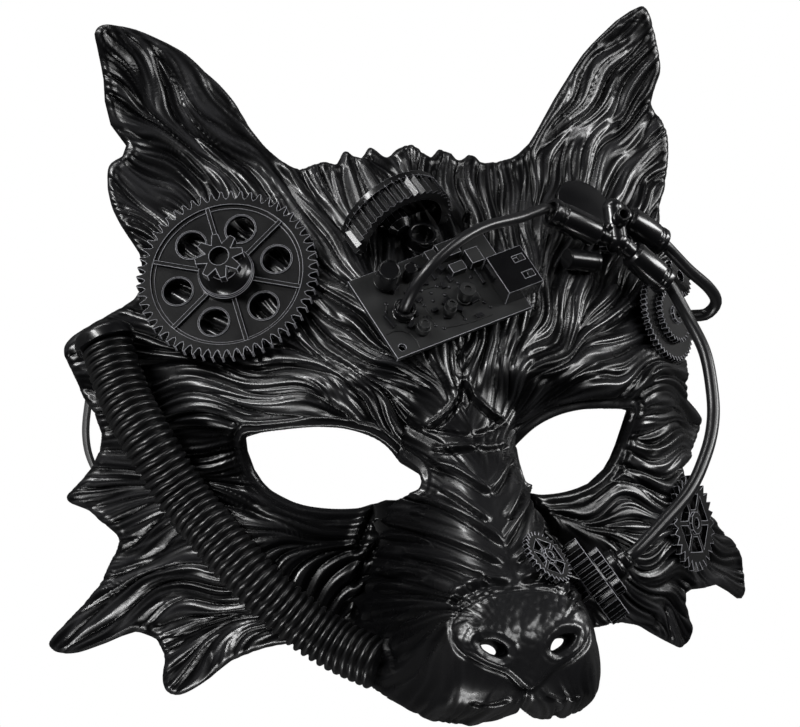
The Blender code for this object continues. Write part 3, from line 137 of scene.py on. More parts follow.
@dataclass(frozen=True)
class Finish:
    """A material of the mask: what it is, how it was made and how it shines."""

    name: str
    slot: str
    colour: str
    blotch_and_highlight_colour: str
    roughness: float
    rough_spread: float = 0.08
    metallic: float = 0.0
    grain_mm: float = 0.6
    grain_height_mm: float = 0.02
    surface: Surface = Surface.MOULDED
    sheen: float = 0.0
    coat: float = 0.0

    def material(self) -> bpy.types.Material:
        """Make the material, or return the one that is there."""
        found = bpy.data.materials.get(self.name)
        if found is not None:
            return found
        material = bpy.data.materials.new(self.name)
        material.use_nodes = True
        tree = material.node_tree
        shader = tree.nodes["Principled BSDF"]
        shader.inputs["Metallic"].default_value = self.metallic
        if self.metallic == 0.0:
            shader.inputs["IOR"].default_value = PLASTIC_IOR
        if self.sheen > 0.0:
            shader.inputs["Sheen Weight"].default_value = self.sheen
        if self.coat > 0.0:
            shader.inputs["Coat Weight"].default_value = self.coat
            shader.inputs["Coat Roughness"].default_value = COAT_ROUGHNESS
        place = add_node(tree, "ShaderNodeTexCoord").outputs["Object"]
        blotch = add_node(tree, "ShaderNodeTexNoise",
                          values={"Scale": 1 / (BLOTCH_MM * MM), "Detail": 3.0},
                          links={"Vector": place}).outputs["Fac"]
        tone = add_node(tree, "ShaderNodeMix", {"data_type": "RGBA"}, links={0: blotch})
        # Painted highlight: on the fur the crest value, not the blotches, mixes in the second colour, so
        # the crests are painted lighter; the same value raises their gleam.
        if self.surface is Surface.STRANDS:
            crest = add_node(tree, "ShaderNodeAttribute", {"attribute_name": "crest"}).outputs["Fac"]
            sharp = add_node(tree, "ShaderNodeMath", {"operation": "POWER"}, {1: CREST_FALL}, {0: crest})
            tree.links.new(sharp.outputs[0], tone.inputs[0])
            gleam = add_node(tree, "ShaderNodeMapRange", values=CREST_GLEAM,
                             links={"Value": crest}).outputs["Result"]
            tree.links.new(gleam, shader.inputs["Specular IOR Level"])
        tone.inputs[6].default_value = linear(self.colour)
        tone.inputs[7].default_value = linear(self.blotch_and_highlight_colour)
        tree.links.new(tone.outputs[2], shader.inputs["Base Color"])
        rough = add_node(tree, "ShaderNodeMapRange",
                         values={"To Min": self.roughness - self.rough_spread,
                                 "To Max": self.roughness + self.rough_spread},
                         links={"Value": blotch}).outputs["Result"]
        tree.links.new(rough, shader.inputs["Roughness"])
        grain = self.grain(tree, place)
        bump = add_node(tree, "ShaderNodeBump", values={"Strength": 1.0,
                                                         "Distance": self.grain_height_mm * MM},
                        links={"Height": grain})
        tree.links.new(bump.outputs["Normal"], shader.inputs["Normal"])
        return material

    def grain(self, tree: bpy.types.NodeTree, place: bpy.types.NodeSocket) -> bpy.types.NodeSocket:
        """Lay the fine relief of the surface.

        Args:
            tree: the material's node tree.
            place: the coordinates in metres.

        Returns:
            The socket that holds the relief's height.
        """
        if self.surface is Surface.WOVEN:
            threads = [add_node(tree, "ShaderNodeTexWave",
                                {"bands_direction": axis, "wave_profile": "SIN"},
                                {"Scale": 1 / (self.grain_mm * MM) / (2 * math.pi)},
                                {"Vector": place}).outputs["Fac"] for axis in ("X", "Z")]
            return add_node(tree, "ShaderNodeMath", {"operation": "MAXIMUM"},
                            links={0: threads[0], 1: threads[1]}).outputs[0]
        return add_node(tree, "ShaderNodeTexNoise",
                        values={"Scale": 1 / (self.grain_mm * MM), "Detail": 2.0},
                        links={"Vector": place}).outputs["Fac"]


# Polypropylene, injection moulded in a polished tool: deep black with sharp, thin highlights from the
# lights, and its second colour is a painted highlight on the fur's crests.
FUR_PLASTIC = Finish("Polypropylene_injection_moulded_gloss_black", "moulded_face_plastic", "070708",
                     "2C2C2E", 0.27, 0.05, grain_mm=0.7, grain_height_mm=0.012,
                     surface=Surface.STRANDS)
# The same plastic without fur, as on the hood, the discs and the posts.
PLAIN_PLASTIC = Finish("Polypropylene_injection_moulded_plain", "moulded_face_plastic", "0B0B0C",
                       "121214", 0.24, 0.05, grain_mm=0.8, grain_height_mm=0.012)
# Gears of moulded acetal, painted black: a slightly greyer and softer gloss than the face.
GEAR_PLASTIC = Finish("Acetal_injection_moulded_painted_black", "gear_plastic", "0C0C0D", "141415",
                      0.22, 0.05, grain_mm=0.5, grain_height_mm=0.018)
# Painted highlight on the eased edges of gears and fittings: a light grey that draws the thin light lines
# round teeth and holes.
EDGE_HIGHLIGHT = Finish("Acetal_painted_edge_highlight", "gear_plastic", "88888E", "A4A4AA", 0.28, 0.06, grain_mm=0.5,
                   grain_height_mm=0.01)
# Brass and steel fittings sprayed black, so they shine like lacquer over metal.
PAINTED_METAL = Finish("Steel_fittings_sprayed_black", "painted_metal", "0B0B0C", "141416", 0.24, 0.05,
                       grain_mm=0.8, grain_height_mm=0.004, coat=0.4)
# Flexible sheath, extruded: satin black with a long soft highlight.
SHEATH = Finish("Polyvinyl_chloride_extruded_sheath", "cable_rubber", "111112", "1C1C1E", 0.30, 0.05,
                grain_mm=0.7, grain_height_mm=0.01)
# The hose: polyethylene, blow moulded into corrugations, glossy with a soft fall-off on each rib.
HOSE_PLASTIC = Finish("Polyethylene_blow_moulded_corrugated", "cable_rubber", "0E0E0F", "161617", 0.30,
                      0.05, grain_mm=0.9, grain_height_mm=0.012)
# Solder and small parts under the same black spray, with a metal gleam left.
SOLDER = Finish("Tin_solder_sprayed_black", "painted_metal", "1B1B1D", "333336", 0.32, 0.08,
                metallic=0.6, grain_mm=0.4, grain_height_mm=0.02)
# Laminate board under black lacquer.
BOARD_LACQUER = Finish("Glass_laminate_lacquered_black", "board_lacquer", "08090A", "0F1011", 0.58,
                       0.07, grain_mm=0.6, grain_height_mm=0.02)
# Knitted elastic, matt, with its threads drawn 0.7 mm apart so that they show.
ELASTIC = Finish("Polyester_elastic_woven", "strap_cloth", "0C0C0D", "161617", 0.85, 0.05,
                 grain_mm=0.7, grain_height_mm=0.08, surface=Surface.WOVEN, sheen=0.3)


def finish_piece(piece: bpy.types.Object, finish: Finish, *nodes: str) -> bpy.types.Object:
    """Give a new piece its material, its body and the nodes that it stands for.

    Args:
        piece: the piece, in place.
        finish: its material.
        nodes: names of the solids that it replaces.

    Returns:
        The piece.
    """
    piece.data.materials.clear()
    piece.data.materials.append(finish.material())
    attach(piece, BODY)
    if nodes:
        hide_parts(*nodes)
    LOG.info("%s made of %s", piece.name, finish.name)
    return piece


def new_piece(name: str, points: Sequence, faces: Sequence, smooth_deg: float = 40.0) -> bpy.types.Object:
    """Make an object from points and faces.

    Args:
        name: its name.
        points: corners in metres.
        faces: corner numbers of each face.
        smooth_deg: edges sharper than this stay sharp.

    Returns:
        The object, linked into the scene.
    """
    mesh = bpy.data.meshes.new(name)
    mesh.from_pydata([tuple(point) for point in points], [], [tuple(face) for face in faces])
    mesh.update()
    mesh.shade_smooth()
    mesh.set_sharp_from_angle(angle=math.radians(smooth_deg))
    thing = bpy.data.objects.new(name, mesh)
    bpy.context.scene.collection.objects.link(thing)
    return thing


def between(t: np.ndarray, step: np.ndarray, low: tuple, high: tuple) -> np.ndarray:
    """Read a smooth curve between two rows.

    Args:
        t: how far each reading lies from the lower row toward the higher.
        step: the distance between the rows.
        low: value and slope at the lower row.
        high: value and slope at the higher row.

    Returns:
        The values.
    """
    return ((2 * t**3 - 3 * t**2 + 1) * low[0] + (t**3 - 2 * t**2 + t) * step * low[1]
            + (3 * t**2 - 2 * t**3) * high[0] + (t**3 - t**2) * step * high[1])


def rows_curve(places: Sequence, rows: Sequence, at: np.ndarray) -> np.ndarray:
    """Read a smooth curve through rows, held constant past both ends.

    Args:
        places: where the rows stand.
        rows: the value or values of each row.
        at: where to read.

    Returns:
        The value or values at each place.
    """
    places, rows = np.asarray(places, dtype=float), np.asarray(rows, dtype=float)
    slopes = np.gradient(rows, places, axis=0)
    at = np.clip(at, places[0], places[-1])
    index = np.clip(np.searchsorted(places, at, side="right") - 1, 0, len(places) - 2)
    step = places[index + 1] - places[index]
    t = (at - places[index]) / step
    if rows.ndim == 2:
        step, t = step[:, None], t[:, None]
    return between(t, step, (rows[index], slopes[index]), (rows[index + 1], slopes[index + 1]))


def inside(points: np.ndarray, loop: np.ndarray) -> np.ndarray:
    """Tell which points lie inside a closed loop.

    Args:
        points: places in the plan.
        loop: the loop's corners.

    Returns:
        True for each point inside.
    """
    x, y = points[:, 0], points[:, 1]
    found = np.zeros(len(points), dtype=bool)
    for (ax, ay), (bx, by) in zip(loop, np.roll(loop, -1, 0)):
        crosses = (ay > y) != (by > y)
        reach = ax + (y - ay) * (bx - ax) / (by - ay if by != ay else 1e-12)
        found ^= crosses & (x < reach)
    return found


def spline(corners: Sequence, t: np.ndarray | float) -> np.ndarray:
    """Points of a smooth curve from the second to the third of four corners."""
    a, b, c, d = corners
    return 0.5 * (2 * b + (c - a) * t + (2 * a - 5 * b + 4 * c - d) * t**2
                  + (3 * b - a - 3 * c + d) * t**3)


def spline_at(loop: np.ndarray, index: np.ndarray, t: np.ndarray) -> np.ndarray:
    """Points of a smooth closed curve through a loop's corners.

    Args:
        loop: the corners.
        index: the corner before each point.
        t: how far each point lies toward the next corner.

    Returns:
        The points.
    """
    return spline([loop[(index + shift) % len(loop)] for shift in (-1, 0, 1, 2)], t[:, None])


def smooth_loop(points: np.ndarray, spacing: float) -> np.ndarray:
    """Points of a smooth closed curve, no further apart than the spacing."""
    index, shares = [], []
    for corner, (b, c) in enumerate(zip(points, np.roll(points, -1, 0))):
        count = max(1, math.ceil(np.linalg.norm(c - b) / spacing))
        index += [corner] * count
        shares += [step / count for step in range(count)]
    return spline_at(points, np.array(index), np.array(shares))


def read_line(line: np.ndarray, places: np.ndarray, at: np.ndarray) -> np.ndarray:
    """Points of a line that are read between its own, which lie at the places."""
    return np.column_stack([np.interp(at, places, line[:, axis]) for axis in range(3)])


def smooth_route(points: Sequence, spacing: float) -> np.ndarray:
    """Evenly spaced points of a smooth open curve.

    Args:
        points: the route's own points.
        spacing: how far apart to read it.

    Returns:
        The points.
    """
    points = np.array([tuple(point) for point in points])
    ends = np.vstack((2 * points[0] - points[1], points, 2 * points[-1] - points[-2]))
    fine = [spline(corners, t) for corners in zip(ends, ends[1:], ends[2:], ends[3:])
            for t in np.linspace(0.0, 1.0, 16, endpoint=False)]
    fine = np.array(fine + [points[-1]])
    lengths = np.concatenate(([0.0], np.cumsum(np.linalg.norm(np.diff(fine, axis=0), axis=1))))
    count = max(2, round(lengths[-1] / spacing))
    return read_line(fine, lengths, np.linspace(0.0, lengths[-1], count + 1))


def net_in(loops: Sequence[np.ndarray], more: Sequence[np.ndarray] = ()) -> tuple:
    """Lay triangles inside the first loop of a plan and outside its other loops.

    Args:
        loops: the loops, whose points come first among the places.
        more: further places.

    Returns:
        The places and the triangles.
    """
    edges, start = [], 0
    for loop in loops:
        edges += [(start + i, start + (i + 1) % len(loop)) for i in range(len(loop))]
        start += len(loop)
    flat = np.vstack([*loops, *more])
    result = delaunay_2d_cdt([Vector(point) for point in flat], edges, [], 0, 1e-7)
    places = np.array([tuple(place) for place in result[0]])
    triangles = np.array([tuple(face) for face in result[2]])
    return places, triangles[within(places[triangles].mean(axis=1), loops)]


def within(points: np.ndarray, loops: Sequence[np.ndarray]) -> np.ndarray:
    """Tell which points lie inside the first loop and outside the others."""
    keep = inside(points, loops[0])
    for hole in loops[1:]:
        keep &= ~inside(points, hole)
    return keep


def left_over(points: np.ndarray, rows: Sequence[tuple]) -> np.ndarray:
    """Share that a table of round spots, on both sides of the face, leaves at each point.

    Args:
        points: places in the plan.
        rows: for each spot its place and reach in millimetres and the share left at its middle.

    Returns:
        The shares.
    """
    share = np.ones(len(points))
    for across, up, reach, left in rows:
        gap = np.hypot(np.abs(points[:, 0]) - across * MM, points[:, 1] - up * MM) / (reach * MM)
        share *= 1.0 + (left - 1.0) * np.exp(-gap ** 4)
    return share


def world_corners(node: bpy.types.Object) -> np.ndarray:
    """Corners of an object in the frame's own coordinates."""
    return np.array([tuple(node.matrix_world @ vert.co) for vert in node.data.vertices])


# Shares of the half width at which the rows below hold their heights
HEAD_ACROSS = (0.0, 0.17, 0.35, 0.54, 0.71, 0.87, 1.0)

# Each row holds a place along the face, as a share of the reach to the ears above the eyes or to the
# chin below them, and seven heights across it, as shares of the face's rise
HEAD_ROWS = (
    (-1.12, (0.59, 0.59, 0.54, 0.45, 0.34, 0.20, 0.05)),
    (-0.88, (0.70, 0.70, 0.65, 0.55, 0.41, 0.23, 0.05)),
    (-0.70, (0.82, 0.80, 0.73, 0.62, 0.46, 0.25, 0.04)),
    (-0.47, (0.90, 0.86, 0.77, 0.65, 0.47, 0.22, 0.02)),
    (-0.24, (0.95, 0.90, 0.80, 0.66, 0.46, 0.18, 0.02)),
    (-0.06, (0.98, 0.93, 0.82, 0.68, 0.46, 0.16, 0.00)),
    (0.08, (1.00, 0.96, 0.86, 0.70, 0.47, 0.16, 0.00)),
    (0.19, (0.94, 0.91, 0.81, 0.65, 0.44, 0.16, 0.01)),
    (0.35, (0.79, 0.76, 0.68, 0.55, 0.38, 0.16, 0.03)),
    (0.50, (0.56, 0.55, 0.49, 0.41, 0.30, 0.15, 0.06)),
    (0.66, (0.30, 0.30, 0.28, 0.27, 0.21, 0.13, 0.07)),
    (0.81, (0.18, 0.18, 0.18, 0.17, 0.13, 0.09, 0.06)),
    (1.01, (0.09, 0.09, 0.09, 0.08, 0.07, 0.05, 0.04)),
)

# Each row of the snout holds its place along the face, its height and half width as shares of the
# snout's own, and how square its section is: 2 is round, 6 is nearly a box
SNOUT_ROWS = (
    (-1.06, 0.62, 0.88, 4.5),
    (-1.00, 0.80, 0.93, 5.0),
    (-0.965, 0.885, 0.95, 5.5),
    (-0.93, 0.94, 0.97, 6.0),
    (-0.87, 0.975, 0.98, 6.0),
    (-0.77, 0.995, 0.98, 5.5),
    (-0.65, 0.99, 0.93, 4.5),
    (-0.54, 0.935, 0.84, 4.0),
    (-0.39, 0.855, 0.70, 3.4),
    (-0.18, 0.755, 0.55, 3.0),
    (-0.02, 0.655, 0.48, 3.0),
    (0.08, 0.600, 0.46, 3.0),
    (0.19, 0.520, 0.46, 3.0),
    (0.30, 0.380, 0.46, 3.0),
    (0.45, 0.100, 0.46, 3.0),
    (0.60, 0.000, 0.46, 3.0),
)

# Each swelling or hollow holds its centre, its length and breadth as shares of the half width, its
# turn in degrees and its height as a share of the face's rise. All lie on both sides of the face.
SWELLINGS = (
    ("brow", 0.33, 0.13, 0.22, 0.055, -12.0, 0.085),
    ("eye socket", 0.34, -0.10, 0.185, 0.085, 10.0, -0.115),
    ("eye inner corner", 0.17, -0.16, 0.05, 0.06, 30.0, -0.09),
    ("cheekbone", 0.55, -0.40, 0.16, 0.09, 25.0, 0.06),
    ("ear hollow", 0.62, 0.76, 0.20, 0.095, 58.0, -0.085),
    ("brow end", 0.66, 0.10, 0.07, 0.06, 0.0, 0.05),
)

# Outline of the left half, from the top of the head by the ear, the tufts and the muzzle to the chin
LEFT_EDGE = (
    (0.00, 0.672), (-0.04, 0.655), (-0.075, 0.680), (-0.11, 0.655), (-0.15, 0.672),
    (-0.18, 0.645), (-0.22, 0.650), (-0.28, 0.635), (-0.325, 0.655), (-0.36, 0.69),
    (-0.40, 0.745), (-0.425, 0.795), (-0.46, 0.840), (-0.50, 0.880), (-0.55, 0.925),
    (-0.61, 0.958), (-0.665, 0.982), (-0.715, 0.995), (-0.76, 1.00), (-0.783, 0.98),
    (-0.775, 0.93), (-0.765, 0.87), (-0.765, 0.82), (-0.755, 0.765), (-0.72, 0.715),
    (-0.735, 0.690), (-0.778, 0.665), (-0.79, 0.62), (-0.785, 0.56), (-0.76, 0.50),
    (-0.735, 0.45), (-0.735, 0.40), (-0.76, 0.345), (-0.80, 0.322), (-0.86, 0.290),
    (-0.91, 0.258), (-0.925, 0.225), (-0.91, 0.185), (-0.89, 0.13), (-0.862, 0.075),
    (-0.852, 0.02), (-0.868, -0.05), (-0.90, -0.115), (-0.935, -0.165), (-0.93, -0.195),
    (-0.89, -0.225), (-0.865, -0.265), (-0.83, -0.325), (-0.85, -0.40), (-0.875, -0.475),
    (-0.92, -0.56), (-0.97, -0.635), (-1.00, -0.695), (-0.985, -0.73), (-0.94, -0.732),
    (-0.88, -0.70), (-0.81, -0.66), (-0.765, -0.69), (-0.745, -0.76), (-0.75, -0.83),
    (-0.735, -0.885), (-0.70, -0.89), (-0.645, -0.845), (-0.585, -0.775), (-0.51, -0.735),
    (-0.43, -0.725), (-0.36, -0.76), (-0.31, -0.82), (-0.275, -0.90), (-0.235, -0.95),
    (-0.175, -0.985), (-0.11, -1.00), (-0.05, -0.985),
)

# Outline of the right half, from the chin up to the top of the head
RIGHT_EDGE = (
    (0.00, -0.955), (0.05, -0.985), (0.11, -1.00), (0.175, -0.99), (0.23, -0.965),
    (0.275, -0.92), (0.31, -0.85), (0.345, -0.785), (0.40, -0.758), (0.47, -0.748),
    (0.54, -0.765), (0.60, -0.805), (0.66, -0.845), (0.71, -0.875), (0.745, -0.855),
    (0.755, -0.80), (0.735, -0.745), (0.722, -0.695), (0.745, -0.665), (0.81, -0.665),
    (0.88, -0.665), (0.935, -0.70), (0.98, -0.735), (1.00, -0.715), (1.00, -0.645),
    (0.99, -0.58), (0.95, -0.505), (0.90, -0.455), (0.85, -0.37), (0.79, -0.285),
    (0.745, -0.225), (0.785, -0.185), (0.825, -0.125), (0.86, -0.08), (0.86, -0.03),
    (0.815, 0.012), (0.775, 0.035), (0.785, 0.075), (0.785, 0.115), (0.785, 0.17),
    (0.795, 0.25), (0.785, 0.32), (0.76, 0.385), (0.74, 0.45), (0.755, 0.50),
    (0.785, 0.555), (0.805, 0.61), (0.815, 0.665), (0.805, 0.71), (0.78, 0.755),
    (0.80, 0.80), (0.82, 0.84), (0.818, 0.89), (0.81, 0.935), (0.80, 0.975),
    (0.78, 0.998), (0.745, 0.988), (0.70, 0.965), (0.65, 0.93), (0.59, 0.885),
    (0.53, 0.825), (0.48, 0.775), (0.43, 0.72), (0.385, 0.675), (0.335, 0.645),
    (0.28, 0.632), (0.235, 0.630), (0.20, 0.650), (0.165, 0.640), (0.12, 0.668),
    (0.085, 0.650), (0.045, 0.680),
)

# Edge of an eye hole, as shares of its half width from the eye's centre, outward and up
EYE_EDGE = (
    (0.98, 0.04), (0.80, 0.10), (0.48, 0.13), (0.12, 0.14), (-0.20, 0.10), (-0.50, 0.00),
    (-0.72, -0.14), (-0.90, -0.34), (-1.00, -0.52), (-0.96, -0.70), (-0.80, -0.85),
    (-0.55, -0.92), (-0.25, -0.93), (0.05, -0.90), (0.35, -0.82), (0.62, -0.66), (0.84, -0.38),
)

# Edge of a nostril, as shares of its half width
NOSTRIL_EDGE = (
    (1.00, 0.45), (0.45, 0.62), (-0.25, 0.50), (-0.85, 0.05), (-1.00, -0.50), (-0.50, -0.75),
    (0.25, -0.45), (0.80, -0.05),
)

# Rims of the outline, the eyes and the nostrils, in millimetres: height, distance from the edge and
# width of each ridge, then depth and reach of the rounded lip
RIMS = (
    (((0.35, 2.0, 1.1),), 0.9, 1.3),
    (((0.55, 1.7, 0.8), (-0.6, 3.6, 0.8), (0.35, 5.4, 1.0)), 0.7, 1.0),
    (((0.5, 2.2, 1.0),), 0.8, 1.4),
)

# Way the fur grows: a place outward from the middle and up from the eyes, in millimetres, and its
# angle in degrees from outward toward the ears. Both sides of the face share it.
FUR_GUIDES = (
    (0, 92, 90), (15, 88, 86), (30, 84, 78), (45, 84, 62), (0, 62, 90), (15, 62, 86), (30, 62, 76),
    (45, 62, 62), (60, 62, 54), (75, 60, 40), (88, 52, 22), (90, 66, 28), (0, 36, 90), (12, 36, 76),
    (22, 34, 64), (34, 33, 54), (46, 33, 44), (60, 32, 34), (75, 30, 20), (92, 30, 5), (3, 18, 84),
    (12, 15, 62), (24, 15, 42), (38, 15, 24), (52, 15, 14), (66, 14, 8), (80, 14, 0), (97, 10, -12),
    (18, 6, 40), (32, 8, 16), (48, 7, 4), (62, 4, -6), (75, 0, -10), (95, -5, -12), (28, -24, -16),
    (42, -26, -10), (54, -24, 6), (64, -16, 14), (44, -38, -18), (60, -36, -12), (76, -33, -8),
    (90, -28, -2), (102, -18, 6), (44, -50, -30), (60, -50, -26), (80, -52, -24), (100, -57, -28),
    (112, -60, -30), (42, -64, -42), (56, -64, -46), (70, -68, -54), (82, -74, -58), (34, -48, -58),
    (34, -66, -80), (28, -78, -84), (4, -14, 80), (14, -14, 30), (6, -26, 62), (18, -26, 32),
    (6, -38, 66), (20, -38, 40), (14, -78, -70), (50, 90, 58), (60, 88, 50), (70, 98, 50), (80, 112, 54),
    (86, 124, 58), (85, 86, 42), (90, 76, 32), (88, 62, 16), (62, 106, 46), (72, 118, 48),
)

# Where the fur lies in broad folds: a place, a reach in millimetres and the share of fine strands left
BROAD_FOLDS = (
    (28, -30, 17, 0.35), (34, -52, 15, 0.4), (30, -72, 16, 0.4), (52, -40, 14, 0.7), (0, 0, 16, 0.5),
)

# Depth of the fur: a place, a reach in millimetres and the share that is left there
FUR_STRENGTHS = (
    (0, -60, 19, 0.0), (0, -74, 14, 0.25), (16, -66, 12, 0.3), (0, -20, 16, 0.12), (0, -36, 18, 0.15),
    (6, 4, 11, 0.35), (26, -72, 12, 0.5), (24, -34, 10, 0.55),
)

# Edge of the nose pad, from its top down its right side to its tip, in millimetres
NOSE_EDGE = (
    (0, -45), (9, -45.6), (16, -48.5), (20.5, -54), (20, -60.5), (14, -65), (7, -68.5), (0, -74),
)

# Creases and folds drawn one by one: kind, width and height in millimetres, and the path
STROKES = (
    ("fold", 1.0, 1.3, ((0, 16), (3, 9), (8, 4), (13, 1))),
    ("crease", 0.9, -1.2, ((0, 34), (0, 24), (0, 15))),
    ("crease", 0.8, -1.1, ((0, -1), (6, 0), (14, 2))),
    ("fold", 1.0, 1.0, ((0, -5), (6, -5), (12, -5))),
    ("fold", 1.3, 1.5, ((0, -18), (4, -15), (9, -11), (14, -9))),
    ("fold", 1.2, 1.2, ((3, -26), (8, -21), (13, -16))),
    ("fold", 1.3, 1.6, ((0, -33), (5, -28), (11, -23), (17, -19), (23, -15))),
    ("fold", 1.2, 1.3, ((2, -38), (9, -34), (16, -30), (22, -27), (27, -25))),
    ("fold", 1.2, 1.2, ((5, -42), (11, -40), (17, -37), (23, -35))),
    ("fold", 1.9, 1.1, ((1, -43), (8, -42.5), (15, -44.5), (20, -49))),
    ("crease", 0.9, -1.5, ((0, -73), (0, -79), (0, -84))),
    ("crease", 0.8, -0.8, ((5, -76), (11, -78), (17, -77))),
    ("fold", 1.6, 1.3, ((14, -20), (22, -20), (28, -26), (33, -35))),
    ("fold", 1.5, 1.2, ((17, -31), (24, -31), (30, -37), (34, -45))),
    ("fold", 1.5, 1.2, ((20, -40), (26, -41), (31, -47), (34, -55))),
    ("fold", 1.3, 1.0, ((24, -50), (28, -53), (31, -60), (31, -68))),
)

# Routes of the hose, the cables and the strap, as shares of the half width, of the reach to the ears
# or the chin and of the face's rise
FOREHEAD_CABLE_ROUTE = (
    (-0.114, 0.342, 1.014), (-0.062, 0.397, 1.042), (0.015, 0.443, 1.014), (0.103, 0.471, 0.930),
    (0.218, 0.487, 0.817),
)
LONG_CABLE_ROUTE = (
    (0.717, 0.227, 0.662), (0.743, 0.144, 0.732), (0.741, 0.052, 0.803), (0.725, -0.032, 0.859),
    (0.683, -0.142, 0.930), (0.610, -0.266, 1.014), (0.510, -0.372, 1.085),
)
LOOP_TUBE_ROUTE = (
    (0.771, 0.344, 0.465), (0.847, 0.295, 0.394), (0.883, 0.259, 0.324), (0.866, 0.231, 0.275),
    (0.822, 0.228, 0.262),
)
HOSE_ROUTE = (
    (-0.850, 0.240, 0.400), (-0.826, 0.124, 0.500), (-0.780, 0.010, 0.600), (-0.712, -0.165, 0.650),
    (-0.642, -0.315, 0.740), (-0.560, -0.475, 0.830), (-0.465, -0.610, 0.880), (-0.375, -0.710, 0.940),
    (-0.275, -0.790, 1.060),
)
STRAP_ROUTE = (
    (-0.868, 0.030), (-0.835, -0.120), (-0.740, -0.310), (-0.420, -0.520), (0.000, -0.590),
    (0.420, -0.520), (0.700, -0.310), (0.770, -0.050),
)


@dataclass
class FaceForm:
    """The moulded face as a height over the floor, in metres, with Y counted from between the eyes."""

    half_width: float = 0.115
    ear_reach: float = 0.129
    chin_reach: float = 0.085
    face_rise: float = 0.071
    snout_rise: float = 0.120
    snout_half_width: float = 0.036
    eye_centre: float = 0.039
    eye_half_width: float = 0.023
    wall: float = 0.0021
    nostril_half_width: float = 0.0040
    nostril_centre: tuple[float, float] = (0.0105, -0.0605)
    # How softly the snout runs into the head, as a share of its half width
    blend: float = 0.13

    @property
    def centre_y(self) -> float:
        """How far the model's origin lies from the line between the eyes."""
        return (self.chin_reach - self.ear_reach) / 2

    def along(self, share: Sequence | float) -> np.ndarray:
        """Place along the face: a share of the reach to the ears or to the chin."""
        share = np.asarray(share, dtype=float)
        return np.where(share > 0.0, share * self.ear_reach, share * self.chin_reach)

    def point_at(self, share_x: float, share_y: float, share_z: float) -> Vector:
        """A point of the model from its shares."""
        return Vector((share_x * self.half_width, float(self.along(share_y)) + self.centre_y,
                       share_z * self.face_rise))

    def head_height(self, x: np.ndarray, y: np.ndarray) -> np.ndarray:
        """Height of the plain face without its snout."""
        table = np.array([row[1] for row in HEAD_ROWS]) * self.face_rise
        at_y = rows_curve(self.along([row[0] for row in HEAD_ROWS]), table, y)
        across = np.array(HEAD_ACROSS) * self.half_width
        slopes = np.gradient(at_y, across, axis=1)
        slopes[:, 0] = 0.0
        x = np.clip(np.abs(x), across[0], across[-1])
        column = np.clip(np.searchsorted(across, x, side="right") - 1, 0, len(across) - 2)
        step = across[column + 1] - across[column]
        low, high = (np.arange(len(x)), column), (np.arange(len(x)), column + 1)
        return between((x - across[column]) / step, step, (at_y[low], slopes[low]),
                       (at_y[high], slopes[high]))

    def snout_height(self, x: np.ndarray, y: np.ndarray) -> np.ndarray:
        """Height of the snout, or a place below the floor outside it."""
        places = self.along([row[0] for row in SNOUT_ROWS])
        columns = np.array([row[1:] for row in SNOUT_ROWS])
        top = rows_curve(places, columns[:, 0] * self.snout_rise, y)
        half = rows_curve(places, columns[:, 1] * self.snout_half_width, y)
        foot = self.head_height(half, y) - self.wall
        share = np.clip(np.abs(x) / half, 0.0, 1.0)
        arch = 1.0 - share ** rows_curve(places, columns[:, 2], y)
        return np.where(share < 1.0, foot + (top - foot) * arch, -self.face_rise)

    def swelling(self, x: np.ndarray, y: np.ndarray, row: tuple) -> np.ndarray:
        """A rounded bump or hollow on both sides of the face."""
        _, centre_x, centre_y, length, breadth, turn, rise = row
        angle = math.radians(turn)
        across = np.abs(x) - centre_x * self.half_width
        up = y - centre_y * self.half_width
        u = (across * math.cos(angle) + up * math.sin(angle)) / (length * self.half_width)
        v = (up * math.cos(angle) - across * math.sin(angle)) / (breadth * self.half_width)
        return rise * self.face_rise * np.exp(-0.5 * (u * u + v * v))

    def height(self, x: np.ndarray, y: np.ndarray) -> np.ndarray:
        """Height of the moulding's outer face over the floor."""
        first = self.head_height(x, y)
        for row in SWELLINGS:
            first = first + self.swelling(x, y, row)
        second = self.snout_height(x, y)
        reach = self.snout_half_width * self.blend
        share = np.clip(0.5 + 0.5 * (first - second) / reach, 0.0, 1.0)
        return second * (1.0 - share) + first * share + reach * share * (1.0 - share)

    def points(self, flat: np.ndarray) -> np.ndarray:
        """Points of the outer face over places in the plan."""
        return np.column_stack((flat[:, :2], self.height(flat[:, 0], flat[:, 1])))

    def normals(self, flat: np.ndarray) -> np.ndarray:
        """Directions square to the outer face."""
        reach = self.wall * 0.25
        x, y = flat[:, 0], flat[:, 1]
        slope_x = (self.height(x + reach, y) - self.height(x - reach, y)) / (2 * reach)
        slope_y = (self.height(x, y + reach) - self.height(x, y - reach)) / (2 * reach)
        normals = np.column_stack((-slope_x, -slope_y, np.ones(len(x))))
        return normals / np.linalg.norm(normals, axis=1)[:, None]

    def loops(self, spacing: float) -> list[np.ndarray]:
        """Edge of the mask and of its holes: the outline, two eyes and two nostrils."""
        shares = np.array(LEFT_EDGE + RIGHT_EDGE)
        found = [smooth_loop(np.column_stack((shares[:, 0] * self.half_width,
                                              self.along(shares[:, 1]))), spacing)]
        for side in (-1, 1):
            eye = np.array(EYE_EDGE) * self.eye_half_width
            found.append(smooth_loop(np.column_stack((side * (self.eye_centre + eye[:, 0]), eye[:, 1])),
                                     spacing))
        for side in (-1, 1):
            hole = np.array(NOSTRIL_EDGE) * self.nostril_half_width + self.nostril_centre
            found.append(np.column_stack((side * hole[:, 0], hole[:, 1])))
        return found


